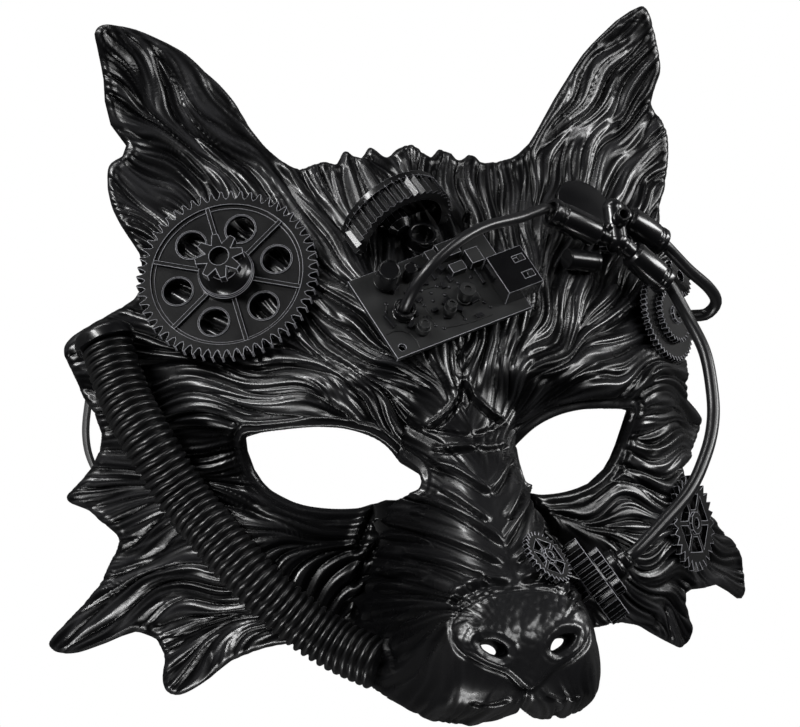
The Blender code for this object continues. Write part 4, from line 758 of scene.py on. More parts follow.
@dataclass
class FurField:
    """Relief of the fur over the plan: waves of noise, drawn out along the way that the fur grows."""

    form: FaceForm
    pitch_mm: float = 0.32
    margin_mm: float = 4.0
    seed: int = 11
    guide_reach_mm: float = 9.0
    bandwidth: float = 0.42
    # Bends of the fur's way: share in radians and length of the waves that bend it
    bends: tuple = ((0.27, 30.0), (0.06, 14.0))
    # Locks, tufts and strands: distance across the fur and reach along it in mm, and their softness
    sizes: tuple = ((12.0, 30.0, 0.02), (6.6, 24.0, 0.05), (4.2, 20.0, 0.09))
    # How sharp their crests are, and how high each of the three stands in millimetres
    sharpness: float = 1.7
    heights_mm: tuple[float, float, float] = (2.5, 1.15, 0.34)

    def __post_init__(self) -> None:
        """Lay the grid and the way of the fur on it."""
        self.pitch = self.pitch_mm * MM
        self.low = np.array((-self.form.half_width, -self.form.chin_reach)) - self.margin_mm * MM
        high = np.array((self.form.half_width, self.form.ear_reach)) + self.margin_mm * MM
        self.shape = tuple(int(count) for count in np.ceil((high - self.low) / self.pitch)[::-1])
        rows, columns = np.indices(self.shape)
        x = (self.low[0] + columns * self.pitch).ravel()
        y = (self.low[1] + rows * self.pitch).ravel()
        way = self.flow(x, y)
        turn = sum(share * self.waves(length).ravel() for share, length in self.bends)
        cos, sin = np.cos(turn), np.sin(turn)
        self.way = np.stack(((way[:, 0] * cos - way[:, 1] * sin).reshape(self.shape),
                             (way[:, 0] * sin + way[:, 1] * cos).reshape(self.shape)))

    def flow(self, x: np.ndarray, y: np.ndarray) -> np.ndarray:
        """Direction in the plan in which the fur grows."""
        reach = self.guide_reach_mm * MM
        across, up = np.zeros(len(x)), np.zeros(len(x))
        for guide_x, guide_y, degrees in FUR_GUIDES:
            gap = (np.abs(x) - guide_x * MM) ** 2 + (y - guide_y * MM) ** 2
            weight = np.exp(-gap / (2 * reach * reach)) + 1e-9 / (gap + 1e-9)
            across += weight * math.cos(math.radians(degrees))
            up += weight * math.sin(math.radians(degrees))
        length = np.hypot(across, up) + 1e-12
        return np.column_stack((across * np.where(x < 0, -1.0, 1.0) / length, up / length))

    def waves(self, length_mm: float) -> np.ndarray:
        """Noise over the grid whose waves all have about one length."""
        random = np.random.default_rng(self.seed + round(length_mm * 10))
        spectrum = np.fft.rfft2(random.standard_normal(self.shape))
        rate = np.hypot(np.fft.fftfreq(self.shape[0], self.pitch_mm)[:, None],
                        np.fft.rfftfreq(self.shape[1], self.pitch_mm)[None])
        band = np.exp(-((rate * length_mm - 1.0) / self.bandwidth) ** 2)
        field = np.fft.irfft2(spectrum * band, self.shape)
        return field / field.std()

    def read(self, field: np.ndarray, rows: np.ndarray, columns: np.ndarray) -> np.ndarray:
        """Read a field between its grid points."""
        rows = np.clip(rows, 0, self.shape[0] - 1.001)
        columns = np.clip(columns, 0, self.shape[1] - 1.001)
        row, column = rows.astype(int), columns.astype(int)
        down, over = rows - row, columns - column
        return ((field[row, column] * (1 - over) + field[row, column + 1] * over) * (1 - down)
                + (field[row + 1, column] * (1 - over) + field[row + 1, column + 1] * over) * down)

    def drawn_out(self, length_mm: float, reach_mm: float, steps: int = 24) -> np.ndarray:
        """Waves drawn out along the fur.

        Args:
            length_mm: distance from wave to wave across the fur.
            reach_mm: how far each way they are drawn.
            steps: number of steps each way.

        Returns:
            The drawn out waves over the grid, about one high.
        """
        field = self.waves(length_mm)
        total = field.copy()
        for sign in (1.0, -1.0):
            rows, columns = (part.astype(float) for part in np.indices(self.shape))
            for step in range(1, steps + 1):
                row = np.clip(rows.round().astype(int), 0, self.shape[0] - 1)
                column = np.clip(columns.round().astype(int), 0, self.shape[1] - 1)
                stride = sign * reach_mm / steps / self.pitch_mm
                columns = columns + self.way[0][row, column] * stride
                rows = rows + self.way[1][row, column] * stride
                total += self.read(field, rows, columns) * (0.5 + 0.5 * math.cos(math.pi * step / steps))
        return total / total.std()

    def relief(self, flat: np.ndarray) -> tuple[np.ndarray, np.ndarray]:
        """The fur's height in millimetres and how near each place is to a crest, from 0 to 1, which paints
        the crests lighter as a highlight.
        """
        rows = (flat[:, 1] - self.low[1]) / self.pitch
        columns = (flat[:, 0] - self.low[0]) / self.pitch
        locks, tufts, strands = (
            np.sqrt(self.read(self.drawn_out(length, reach), rows, columns) ** 2 + soft)
            for length, reach, soft in self.sizes)
        fine = left_over(flat, BROAD_FOLDS)
        locks = 1.0 - np.exp(-self.sharpness * locks)
        tufts = 1.0 - np.exp(-self.sharpness * tufts)
        crest = 1.45 * np.exp(-self.sharpness * strands)
        high, middle, low = self.heights_mm
        height = high * (locks - 0.65) + middle * fine * (tufts - 0.6) + low * fine * (crest - 0.4)
        # The crest value is the mask of the painted highlight: held low in the broad folds and in the
        # locks' valleys, which stay dark.
        return height - 0.2, crest * fine * np.clip(locks / 0.5, 0.2, 1.0)


@dataclass
class FurSkin:
    """The moulded face with its fur: an even net of triangles, each split fine and set in relief."""

    form: FaceForm
    edge_spacing: float = 0.0075
    net_spacing: float = 0.0095
    splits: int = 17
    # Crest value where no fur lies, which paints a grey sheen on the bare places, and the shares of the
    # fur's depth left at the eyes and the outline
    bare_painted_sheen: float = 0.62
    eyelid_fur: float = 0.12
    edge_fur: float = 0.35
    fur_clear_mm: float = 2.5
    fur_fade_mm: float = 5.0
    stroke_spacing: float = 0.0015
    stroke_fade: float = 6.0
    pad_mm: float = 0.9
    pebble_mm: float = 2.6

    def net(self) -> tuple[np.ndarray, list, list[np.ndarray]]:
        """Lay the coarse net.

        Returns:
            Its places in the plan, its triangles and its edge loops.
        """
        loops = self.form.loops(self.edge_spacing)
        return *net_in(loops, [self.scatter(loops)]), loops

    def scatter(self, loops: list[np.ndarray]) -> np.ndarray:
        """Places between the loops, evenly spaced over the curved face."""
        outer, spacing = loops[0], self.net_spacing
        low, high = outer.min(axis=0), outer.max(axis=0)
        step = spacing / 10
        across, up = np.meshgrid(np.arange(low[0], high[0], step), np.arange(low[1], high[1], step))
        grid = np.column_stack((across.ravel(), up.ravel()))
        waiting = self.form.points(grid[within(grid, loops)])
        for point in self.form.points(np.vstack(loops)):
            waiting = waiting[np.linalg.norm(waiting - point, axis=1) > spacing * 0.72]
        chosen = []
        while len(waiting):
            point = waiting[0]
            chosen.append(point[:2])
            waiting = waiting[np.linalg.norm(waiting - point, axis=1) > spacing * 0.86]
        return np.array(chosen)

    def fine_key(self, corners: Sequence[int], weights: Sequence[int]) -> tuple:
        """Name of a fine point: the net's corners that it lies between, each with its weight."""
        return tuple(sorted((corner, weight) for corner, weight in zip(corners, weights) if weight))

    def split(self, places: np.ndarray, triangles: np.ndarray,
              loops: list[np.ndarray]) -> tuple[np.ndarray, list, dict]:
        """Split each triangle of the net, with its outer edges on the smooth outline.

        Args:
            places: the net's places.
            triangles: its triangles.
            loops: its edge loops, whose points come first among the places.

        Returns:
            The fine places, the fine triangles and the fine points of each edge of the net.
        """
        parts = self.splits
        bend, start = {}, 0
        shares = np.arange(parts + 1) / parts
        for loop in loops:
            count = len(loop)
            for i in range(count):
                a, b = start + i, start + (i + 1) % count
                curve = spline_at(loop, np.full(parts + 1, i), shares)
                straight = loop[i] + (loop[(i + 1) % count] - loop[i]) * shares[:, None]
                bend[(a, b)] = curve - straight
                bend[(b, a)] = (curve - straight)[::-1]
            start += count
        fine, faces, number, rims = [], [], {}, {}
        for a, b, c in triangles.tolist():
            corner = places[[a, b, c]]
            grid = {}
            for i in range(parts + 1):
                for j in range(parts + 1 - i):
                    k = parts - i - j
                    key = self.fine_key((a, b, c), (i, j, k))
                    if key not in number:
                        place = corner[0] * i / parts + corner[1] * j / parts + corner[2] * k / parts
                        for (p, wp), (q, wq), rest in (((a, i), (b, j), k), ((b, j), (c, k), i),
                                                       ((c, k), (a, i), j)):
                            if (p, q) in bend and wp + wq:
                                step = wq * parts / (wp + wq)
                                low = min(int(step), parts - 1)
                                offset = bend[(p, q)][low] * (low + 1 - step)
                                offset = offset + bend[(p, q)][low + 1] * (step - low)
                                place = place + offset * (1 - rest / parts)
                        number[key] = len(fine)
                        fine.append(place)
                    grid[(i, j)] = number[key]
            for i in range(parts):
                for j in range(parts - i):
                    faces.append((grid[(i + 1, j)], grid[(i, j + 1)], grid[(i, j)]))
                    if i + j < parts - 1:
                        faces.append((grid[(i + 1, j)], grid[(i + 1, j + 1)], grid[(i, j + 1)]))
            for p, q in ((a, b), (b, c), (c, a)):
                if (p, q) in bend:
                    rims[(p, q)] = [number[self.fine_key((p, q), (parts - step, step))]
                                    for step in range(parts + 1)]
        return np.array(fine), faces, rims

    def distance_to(self, points: np.ndarray, line: np.ndarray) -> np.ndarray:
        """Distance in millimetres of each point to the nearest point of a line over the plan."""
        tree = KDTree(len(line))
        for index, place in enumerate(self.form.points(line)):
            tree.insert(place, index)
        tree.balance()
        return np.array([tree.find(point)[2] for point in points]) / MM

    def near_line(self, points: np.ndarray, normals: np.ndarray, line: np.ndarray,
                  reach: float) -> tuple[np.ndarray, np.ndarray, np.ndarray]:
        """Measure points against a line on the face.

        Args:
            points: points of the face.
            normals: the face's directions there.
            line: the line's points.
            reach: how far from the line to look.

        Returns:
            The numbers of the points near it, their signed distances and how far along each lies.
        """
        middle = line.mean(axis=0)
        room = np.linalg.norm(line - middle, axis=1).max() + reach
        near = np.nonzero((np.abs(points - middle) < room).all(axis=1))[0]
        spot = points[near]
        best = np.full(len(near), 1e9)
        signed = np.zeros(len(near))
        share = np.zeros(len(near))
        for index, (a, b) in enumerate(zip(line, line[1:])):
            way = b - a
            t = np.clip(((spot - a) @ way) / max(way @ way, 1e-12), 0.0, 1.0)
            gap = spot - (a + t[:, None] * way)
            distance = np.linalg.norm(gap, axis=1)
            closer = distance < best
            side = np.sign((np.cross(way, gap) * normals[near]).sum(axis=1))
            best = np.where(closer, distance, best)
            signed = np.where(closer, distance * side, signed)
            share = np.where(closer, (index + t) / (len(line) - 1), share)
        keep = best < reach
        return near[keep], signed[keep], share[keep]

    def relief(self, points: np.ndarray, normals: np.ndarray,
               loops: list[np.ndarray]) -> tuple[np.ndarray, np.ndarray]:
        """Work out the fur's relief.

        Args:
            points: points of the plain face.
            normals: directions square to it.
            loops: the edge loops.

        Returns:
            Height over the plain face in metres, and how near each point is to a crest, which paints a
            highlight on the crests and an even grey sheen where the fur is bare.
        """
        depth, crest = FurField(self.form).relief(points[:, :2])
        strength = self.strength(points, loops)
        depth = (depth * strength + self.rims(points, loops) + self.strokes(points, normals)
                 + self.nose(points))
        # Where the fur is shallow the crest value goes to a fixed level, which paints an even grey sheen
        # there.
        furred = np.clip(strength * 1.5, 0.0, 1.0)
        return depth * MM, crest * furred + self.bare_painted_sheen * (1.0 - furred)

    def strength(self, points: np.ndarray, loops: list[np.ndarray]) -> np.ndarray:
        """How deep the fur is at each point."""
        strength = left_over(points, FUR_STRENGTHS)
        for loop in loops[1:3]:
            gap = self.distance_to(points, loop) - self.fur_clear_mm
            strength *= self.eyelid_fur + (1.0 - self.eyelid_fur) * np.clip(gap / self.fur_fade_mm, 0, 1)
        gap = self.distance_to(points, loops[0])
        return strength * (self.edge_fur + (1.0 - self.edge_fur) * np.clip(gap / self.fur_fade_mm, 0, 1))

    def rims(self, points: np.ndarray, loops: list[np.ndarray]) -> np.ndarray:
        """Rolled rims round the mask, the eyelids and the nostrils, in millimetres."""
        rise = np.zeros(len(points))
        for loop, (ridges, lip, reach) in zip(loops, (RIMS[0], RIMS[1], RIMS[1], RIMS[2], RIMS[2])):
            gap = self.distance_to(points, loop)
            for height, place, width in ridges:
                rise += height * np.exp(-((gap - place) / width) ** 2)
            rise -= lip * np.clip(1.0 - gap / reach, 0.0, 1.0) ** 2
        return rise

    def strokes(self, points: np.ndarray, normals: np.ndarray) -> np.ndarray:
        """Creases and folds that are drawn one by one, in millimetres."""
        rise = np.zeros(len(points))
        for kind, width, height, path in STROKES:
            for side in (1, -1):
                line = smooth_route([(x * side, y, 0.0) for x, y in np.array(path) * MM],
                                    self.stroke_spacing)
                line = self.form.points(line)
                near, signed, share = self.near_line(points, normals, line, 4 * width * MM)
                signed = signed / MM * side
                fade = math.prod(np.sin(np.clip(part * self.stroke_fade, 0, 1) * math.pi / 2)
                                 for part in (share, 1 - share))
                if kind == "fold":
                    shape = np.exp(-((signed - width * 0.7) / width) ** 2)
                    shape = shape - 1.2 * np.exp(-((signed + width * 0.5) / (width * 0.6)) ** 2)
                else:
                    shape = np.exp(-(signed / width) ** 2)
                change = height * shape * fade
                rise[near] = np.where(np.abs(change) > np.abs(rise[near]), change, rise[near])
                if all(abs(x) < 0.5 for x, _ in path):
                    break
        return rise

    def nose(self, points: np.ndarray) -> np.ndarray:
        """The nose pad, raised and pebbled, with a groove round it, in millimetres."""
        path = np.array(NOSE_EDGE + tuple((-x, y) for x, y in NOSE_EDGE[-2:0:-1])) * MM
        edge = smooth_loop(path, EDGE_STEP)
        high = points[:, 2] > self.form.snout_rise * 0.8
        pad = inside(points[:, :2], edge) & high
        gap = self.distance_to(points, edge)
        rise = np.where(pad, self.pad_mm * np.clip(gap / 1.6, 0.0, 1.0), 0.0)
        rise = np.where(high, rise - self.pad_mm * np.exp(-(gap / 0.9) ** 2), rise)
        for index in np.nonzero(pad)[0]:
            cell = noise.voronoi(Vector(points[index]) / (self.pebble_mm * MM))[0]
            rise[index] += 0.5 * (0.55 - cell[0]) * min(gap[index] / 2.5, 1.0)
        return rise

    def build(self) -> None:
        """Build the face and stand it in for its solid."""
        places, triangles, loops = self.net()
        flat, faces, rims = self.split(places, triangles, loops)
        plain = self.form.points(flat)
        normals = self.form.normals(flat)
        edges = self.form.loops(EDGE_STEP)
        edges[3:] = [smooth_loop(loop, EDGE_STEP) for loop in edges[3:]]
        height, crest = self.relief(plain, normals, edges)
        outer = plain + normals * height[:, None]
        outer[:, 2] = np.maximum(outer[:, 2], self.form.wall * 0.6)
        under = self.form.points(places)
        inner = under - self.form.normals(places) * self.form.wall
        inner[:, 2] = np.maximum(np.minimum(inner[:, 2], under[:, 2] - self.form.wall * 0.9), 0.0)
        start = len(outer)
        faces += [(start + c, start + b, start + a) for a, b, c in triangles.tolist()]
        for (p, q), row in rims.items():
            half = len(row) // 2
            for index, (first, second) in enumerate(zip(row, row[1:])):
                faces.append((second, first, start + (p if index < half else q)))
            faces.append((start + q, row[half], start + p))
        faces = np.array(faces)
        everything = np.vstack((outer, inner))
        middle = everything[faces].mean(axis=1)[:, 0]
        everything[:, 1] += self.form.centre_y
        crest = np.concatenate((crest, np.zeros(len(inner))))
        normals = self.vertex_normals(everything, faces)
        for name, wanted in (("mask_skin_left", middle < 0.0), ("mask_skin_right", middle >= 0.0)):
            used, order = np.unique(faces[wanted], return_inverse=True)
            skin = new_piece(name, everything[used], order.reshape(-1, 3), 180.0)
            skin.data.normals_split_custom_set_from_vertices(normals[used])
            # The crest value goes onto the points, where the fur's material paints the crests lighter as a
            # highlight.
            crest_highlight = skin.data.attributes.new("crest", "FLOAT", "POINT")
            crest_highlight.data.foreach_set("value", crest[used])
            finish_piece(skin, FUR_PLASTIC, "mask_shell")

    def vertex_normals(self, points: np.ndarray, faces: np.ndarray) -> np.ndarray:
        """Directions at the points of the whole skin, so that its two halves meet without a seam."""
        corners = points[faces]
        square = np.cross(corners[:, 1] - corners[:, 0], corners[:, 2] - corners[:, 0])
        normals = np.zeros_like(points)
        for corner in range(3):
            np.add.at(normals, faces[:, corner], square)
        return normals / np.maximum(np.linalg.norm(normals, axis=1), 1e-12)[:, None]


@dataclass
class Nostrils:
    """The nostrils' passages, which narrow behind their rims so that little light comes through."""

    form: FaceForm
    depth: float = 0.0050
    steps: int = 8
    least: float = 0.58
    sink: float = 0.0010

    def build(self) -> bpy.types.Object:
        """Build both passages."""
        shapes = []
        for loop in self.form.loops(0.0015)[3:]:
            edge = smooth_loop((loop - loop.mean(axis=0)) * 1.06 + loop.mean(axis=0), 0.0006)
            middle = edge.mean(axis=0)
            top = float(self.form.points(edge)[:, 2].min()) - self.form.wall * 0.3
            points = []
            for step in range(self.steps + 1):
                share = step / self.steps
                size = 1.0 - (1.0 - self.least) * math.sin(share * math.pi / 2)
                shift = np.array((0.0, -self.sink)) * share
                for place in (edge - middle) * size + middle + shift:
                    points.append((place[0], place[1] + self.form.centre_y, top - self.depth * share))
            points, faces = sleeve(points, len(edge), capped=False)
            shapes.append((points, [face[:1] + face[:0:-1] for face in faces]))
        piece = new_piece("nostril_passages", *joined(*shapes), 60.0)
        return finish_piece(piece, PLAIN_PLASTIC)


@dataclass
class Spindle:
    """Where a round solid stands: the middle of its lower end, its axis and its reach."""

    foot: Vector
    axis: Vector
    length: float
    radius: float

    @classmethod
    def read(cls, node: bpy.types.Object, toward: Sequence[float]) -> "Spindle":
        """Read it from a solid's corners.

        Args:
            node: the solid.
            toward: a direction that the axis leans to.

        Returns:
            The spindle. Its axis is the way in which the corners spread unlike the other two ways.
        """
        points = np.unique(np.round(world_corners(node), 7), axis=0)
        middle = points.mean(axis=0)
        spread, ways = np.linalg.eigh(np.cov((points - middle).T))
        unlike = [abs(spread[i] - spread[i - 1]) + abs(spread[i] - spread[i - 2]) for i in range(3)]
        axis = ways[:, int(np.argmax(unlike))]
        axis = axis * (1.0 if axis @ np.array(toward) > 0 else -1.0)
        heights = (points - middle) @ axis
        radii = np.linalg.norm(points - middle - heights[:, None] * axis, axis=1)
        return cls(Vector(middle + axis * heights.min()), Vector(axis),
                   float(heights.max() - heights.min()), float(radii.max()))

    def frame(self, across: Sequence[float] = (1.0, 0.0, 0.0)) -> Matrix:
        """A placement at its foot whose Z runs along its axis."""
        return axis_frame(self.foot, self.axis, across)


def axis_frame(point: Sequence, axis: Sequence, across: Sequence[float] = (1.0, 0.0, 0.0)) -> Matrix:
    """A placement whose Z runs along the axis and whose X lies near a given direction."""
    z = Vector(axis).normalized()
    x = Vector(across)
    x = (x - z * x.dot(z)).normalized()
    frame = Matrix((x, z.cross(x), z)).transposed().to_4x4()
    frame.translation = Vector(point)
    return frame


def sleeve(points: Sequence, count: int, capped: bool = True) -> tuple:
    """Join rings of points into one skin.

    Args:
        points: the points, ring after ring.
        count: how many points a ring has.
        capped: whether its two ends are closed.

    Returns:
        Points and faces.
    """
    faces = []
    for start in range(0, len(points) - count, count):
        for side in range(count):
            after = (side + 1) % count
            faces.append((start + side, start + after, start + count + after, start + count + side))
    if capped:
        faces += [tuple(range(count))[::-1], tuple(range(len(points) - count, len(points)))]
    return points, faces


def lathe(profile: Sequence, sides: int = 48) -> tuple:
    """Turn a profile round Z.

    Args:
        profile: radius and height of each corner, in metres, from the bottom to the top.
        sides: how many sides the circle has.

    Returns:
        Points and faces.
    """
    angles = [2 * math.pi * side / sides for side in range(sides)]
    return sleeve([(radius * math.cos(angle), radius * math.sin(angle), height)
                   for radius, height in profile for angle in angles], sides)


def tube(route: np.ndarray, radii: Sequence[float], sides: int = 24) -> tuple:
    """A closed tube of round sections along a route.

    Args:
        route: the centre line.
        radii: one radius for each of its points.
        sides: how many sides each section has.

    Returns:
        Points and faces.
    """
    tangents = np.gradient(route, axis=0)
    across = UP.copy()
    points = []
    for point, tangent, radius in zip(route, tangents, radii):
        tangent = Vector(tangent).normalized()
        across = (across - tangent * across.dot(tangent)).normalized()
        other = tangent.cross(across)
        for angle in np.linspace(0, 2 * math.pi, sides + 1)[:-1]:
            points.append(Vector(point) + (across * math.cos(angle) + other * math.sin(angle)) * radius)
    return sleeve(points, sides)


def joined(*shapes: tuple) -> tuple:
    """Several shapes of points and faces as one."""
    points, faces = [], []
    for more_points, more_faces in shapes:
        start = len(points)
        points += [Vector(point) for point in more_points]
        faces += [tuple(start + corner for corner in face) for face in more_faces]
    return points, faces


def set_at(shape: tuple, frame: Matrix) -> tuple:
    """A shape moved to its placement."""
    points, faces = shape
    return [frame @ Vector(point) for point in points], faces


def box(size: Sequence[float], centre: Sequence[float]) -> tuple:
    """A box by its size and its centre."""
    corners = [Vector((x * size[0] / 2 + centre[0], y * size[1] / 2 + centre[1],
                       z * size[2] / 2 + centre[2])) for x in (-1, 1) for y in (-1, 1) for z in (-1, 1)]
    return corners, [(0, 1, 3, 2), (4, 6, 7, 5), (0, 4, 5, 1), (2, 3, 7, 6), (0, 2, 6, 4), (1, 5, 7, 3)]


def ease(thing: bpy.types.Object, width_mm: float, weld: bool = False, painted_highlight: bool = False) -> None:
    """Ease a piece's edges as a mould or a tool leaves them.

    Args:
        thing: the piece.
        width_mm: how wide the eased edge is.
        weld: join the corners of faces that came apart, as those of the solids do.
        painted_highlight: show the edges in the thing's second material, a painted highlight.
    """
    if weld:
        thing.modifiers.new("weld", "WELD").merge_threshold = 0.00001
    bevel = thing.modifiers.new("eased_edges", "BEVEL")
    bevel.width = width_mm * MM
    bevel.segments = 2
    bevel.limit_method = "ANGLE"
    bevel.angle_limit = math.radians(28)
    bevel.harden_normals = True
    # The bevels take the second material, a light grey painted highlight.
    if painted_highlight:
        bevel.material = 1


@dataclass
class KeptSolids:
    """Solids that keep their own form: their edges are eased and painted light as a highlight, and they
    get their finish.
    """

    nodes: dict[str, bpy.types.Object]

    def dress(self, finish: Finish, width_mm: float, *names: str) -> None:
        """Dress some of them.

        Args:
            finish: their material.
            width_mm: how wide their eased edges are.
            names: the solids' names.
        """
        for name in names:
            node = self.nodes[name]
            spare = node.data.attributes.get("custom_normal")
            if spare is not None:
                node.data.attributes.remove(spare)
            node.data.shade_smooth()
            node.data.materials.clear()
            node.data.materials.append(finish.material())
            # The second material paints a light grey highlight on the eased edges.
            node.data.materials.append(EDGE_HIGHLIGHT.material())
            ease(node, width_mm, weld=True, painted_highlight=True)

    def build(self) -> None:
        """Dress all of them."""
        self.dress(GEAR_PLASTIC, 0.16, "pinion", "cup_gear", "temple_gear_large",
                   "temple_gear_small", "temple_gear_back", "cheek_gear", "snout_gear", "fluted_gear",
                   "narrow_gear")
        self.dress(PAINTED_METAL, 0.15, "box_connector")
        self.dress(BOARD_LACQUER, 0.15, "circuit_board", "chip_wide", "chip_narrow", "chip_middle",
                   "chip_long")
        self.dress(PLAIN_PLASTIC, 0.2, "big_gear_post", "manifold_post", "stack_boss", "board_foot_left",
                   "board_foot_right", "strap_tab_left", "strap_tab_right")


@dataclass
class TurnedPart:
    """A turned fitting in place of its solid: a table of its radii and heights as shares."""

    node: str
    toward: tuple[float, float, float]
    finish: Finish
    profile: tuple
    eased_mm: float = 0.12

    def build(self, nodes: dict[str, bpy.types.Object]) -> bpy.types.Object:
        """Turn it and set it where its solid stands."""
        spindle = Spindle.read(nodes[self.node], self.toward)
        profile = [(radius * spindle.radius, height * spindle.length) for radius, height in self.profile]
        piece = new_piece(f"{self.node}_turned", *set_at(lathe(profile), spindle.frame()), 28.0)
        ease(piece, self.eased_mm)
        return finish_piece(piece, self.finish, self.node)


# Profiles of the turned parts. Each row holds a radius and a height as shares of the part's own.
BARREL_PROFILE = (
    (0.66, 0.00), (0.80, 0.00), (0.98, 0.06), (1.00, 0.10), (1.00, 0.73), (0.98, 0.75), (0.90, 0.755),
    (0.90, 0.80), (0.96, 0.805), (0.96, 0.83), (0.90, 0.835), (0.90, 0.87), (1.00, 0.88), (1.00, 0.97),
    (0.95, 1.00), (0.72, 1.00), (0.68, 0.98), (0.66, 0.90), (0.05, 0.90),
)
CAPACITOR_PROFILE = (
    (0.96, 0.00), (1.00, 0.03), (1.00, 0.10), (0.93, 0.13), (0.93, 0.17), (1.00, 0.20), (1.00, 0.94),
    (0.96, 1.00), (0.84, 1.00), (0.82, 0.975), (0.05, 0.975),
)
RING_PROFILE = (
    (0.70, 0.00), (1.00, 0.00), (1.00, 0.12), (0.93, 0.16), (0.93, 0.80), (1.00, 0.84), (1.00, 0.97),
    (0.96, 1.00), (0.78, 1.00), (0.74, 0.96), (0.72, 0.25), (0.05, 0.25),
)
EYE_TUBE_PROFILE = (
    (0.90, 0.00), (1.00, 0.03), (1.00, 0.36), (0.92, 0.42), (0.84, 0.44), (0.84, 0.90), (0.78, 1.00),
    (0.58, 1.00), (0.52, 0.94), (0.50, 0.30), (0.05, 0.30),
)
POST_PROFILE = (
    (1.00, 0.00), (1.00, 0.55), (0.86, 0.60), (0.86, 0.92), (0.78, 1.00), (0.48, 1.00), (0.44, 0.90),
    (0.05, 0.90),
)
COIL_PROFILE = (
    (1.00, 0.00), (1.00, 0.12),
    *(((0.86, 0.90)[row % 2], round(0.14 + 0.06 * row, 2)) for row in range(13)),
    (1.00, 0.88), (1.00, 1.00), (0.50, 1.00), (0.46, 0.90), (0.05, 0.90),
)
COLLAR_PROFILE = (
    (0.60, 0.00), (1.00, 0.00), (1.00, 0.62), (0.94, 0.68), (0.94, 0.74), (0.98, 0.80), (0.90, 1.00),
    (0.40, 1.00),
)
ROD_PROFILE = (
    (0.90, 0.00), (1.00, 0.03), (1.00, 0.82), (0.92, 0.84), (0.92, 0.87), (1.00, 0.89), (1.00, 0.97),
    (0.94, 1.00), (0.30, 1.00),
)
DOME_PROFILE = (
    (1.000, 0.00), (1.000, 0.36), (0.985, 0.46), (0.966, 0.555), (0.920, 0.63), (0.866, 0.70),
    (0.790, 0.77), (0.707, 0.824), (0.600, 0.88), (0.500, 0.92), (0.380, 0.955), (0.259, 0.98),
    (0.130, 0.995), (0.020, 1.00),
)
DISC_PROFILE = (
    (0.96, 0.00), (1.00, 0.03), (1.00, 0.26), (0.98, 0.31), (0.94, 0.34), (0.86, 0.38), (0.72, 0.43),
    (0.56, 0.47), (0.38, 0.50), (0.20, 0.515), (0.02, 0.52),
)

# The three barrels and the way that each points, away from the manifold
BARRELS = (("barrel_a", (-1, 0, 0)), ("barrel_b", (1, 0, 0)), ("barrel_c", (1, 0, 0)))

# Each row holds a solid's name, a way that its axis leans to, its finish and its profile
TURNED_PARTS = (
    *((name, toward, PAINTED_METAL, BARREL_PROFILE) for name, toward in BARRELS),
    ("eye_tube", (0, 0, 1), PAINTED_METAL, EYE_TUBE_PROFILE),
    ("ferrule", (0, 0, 1), PAINTED_METAL, RING_PROFILE),
    ("cable_socket", (0, 0, 1), PAINTED_METAL, RING_PROFILE),
    ("capacitor_large", (0, 0, 1), PAINTED_METAL, CAPACITOR_PROFILE),
    ("capacitor_small", (0, 0, 1), PAINTED_METAL, CAPACITOR_PROFILE),
    ("post_left", (0, 0, 1), BOARD_LACQUER, POST_PROFILE),
    ("post_right", (0, 0, 1), BOARD_LACQUER, POST_PROFILE),
    ("peg", (0, 0, 1), PAINTED_METAL, POST_PROFILE),
    ("coil", (0, 0, 1), BOARD_LACQUER, COIL_PROFILE),
    ("dark_cylinder", (1, 0, 0), PLAIN_PLASTIC, ROD_PROFILE),
    ("domed_disc", (0, 0, 1), PLAIN_PLASTIC, DISC_PROFILE),
    ("hose_hood", (0, 1, 0), PLAIN_PLASTIC, DOME_PROFILE),
    ("stack_collar", (1, 0, 0), PAINTED_METAL, COLLAR_PROFILE),
    ("stack_sleeve", (1, 0, 0), PAINTED_METAL, COLLAR_PROFILE),
)


def circle(radius: float, sides: int, centre: Sequence[float] = (0.0, 0.0)) -> np.ndarray:
    """Points of a circle in the plane."""
    turn = 2 * math.pi * np.arange(sides) / sides
    return np.column_stack((centre[0] + radius * np.cos(turn), centre[1] + radius * np.sin(turn)))


def plate(outline: np.ndarray, holes: Sequence[np.ndarray], low: float, high: float) -> tuple:
    """A flat shape between two heights with its holes cut through.

    Args:
        outline: its outer loop.
        holes: loops of its holes.
        low: its lower height.
        high: its upper height.

    Returns:
        Points and faces.
    """
    places, triangles = net_in([outline, *holes])
    count = len(places)
    faces, used = [], set()
    for a, b, c in triangles.tolist():
        faces += [(a + count, b + count, c + count), (c, b, a)]
        used |= {(a, b), (b, c), (c, a)}
    faces += [(b + count, a + count, a, b) for a, b in sorted(used) if (b, a) not in used]
    return [(x, y, z) for z in (low, high) for x, y in places], faces


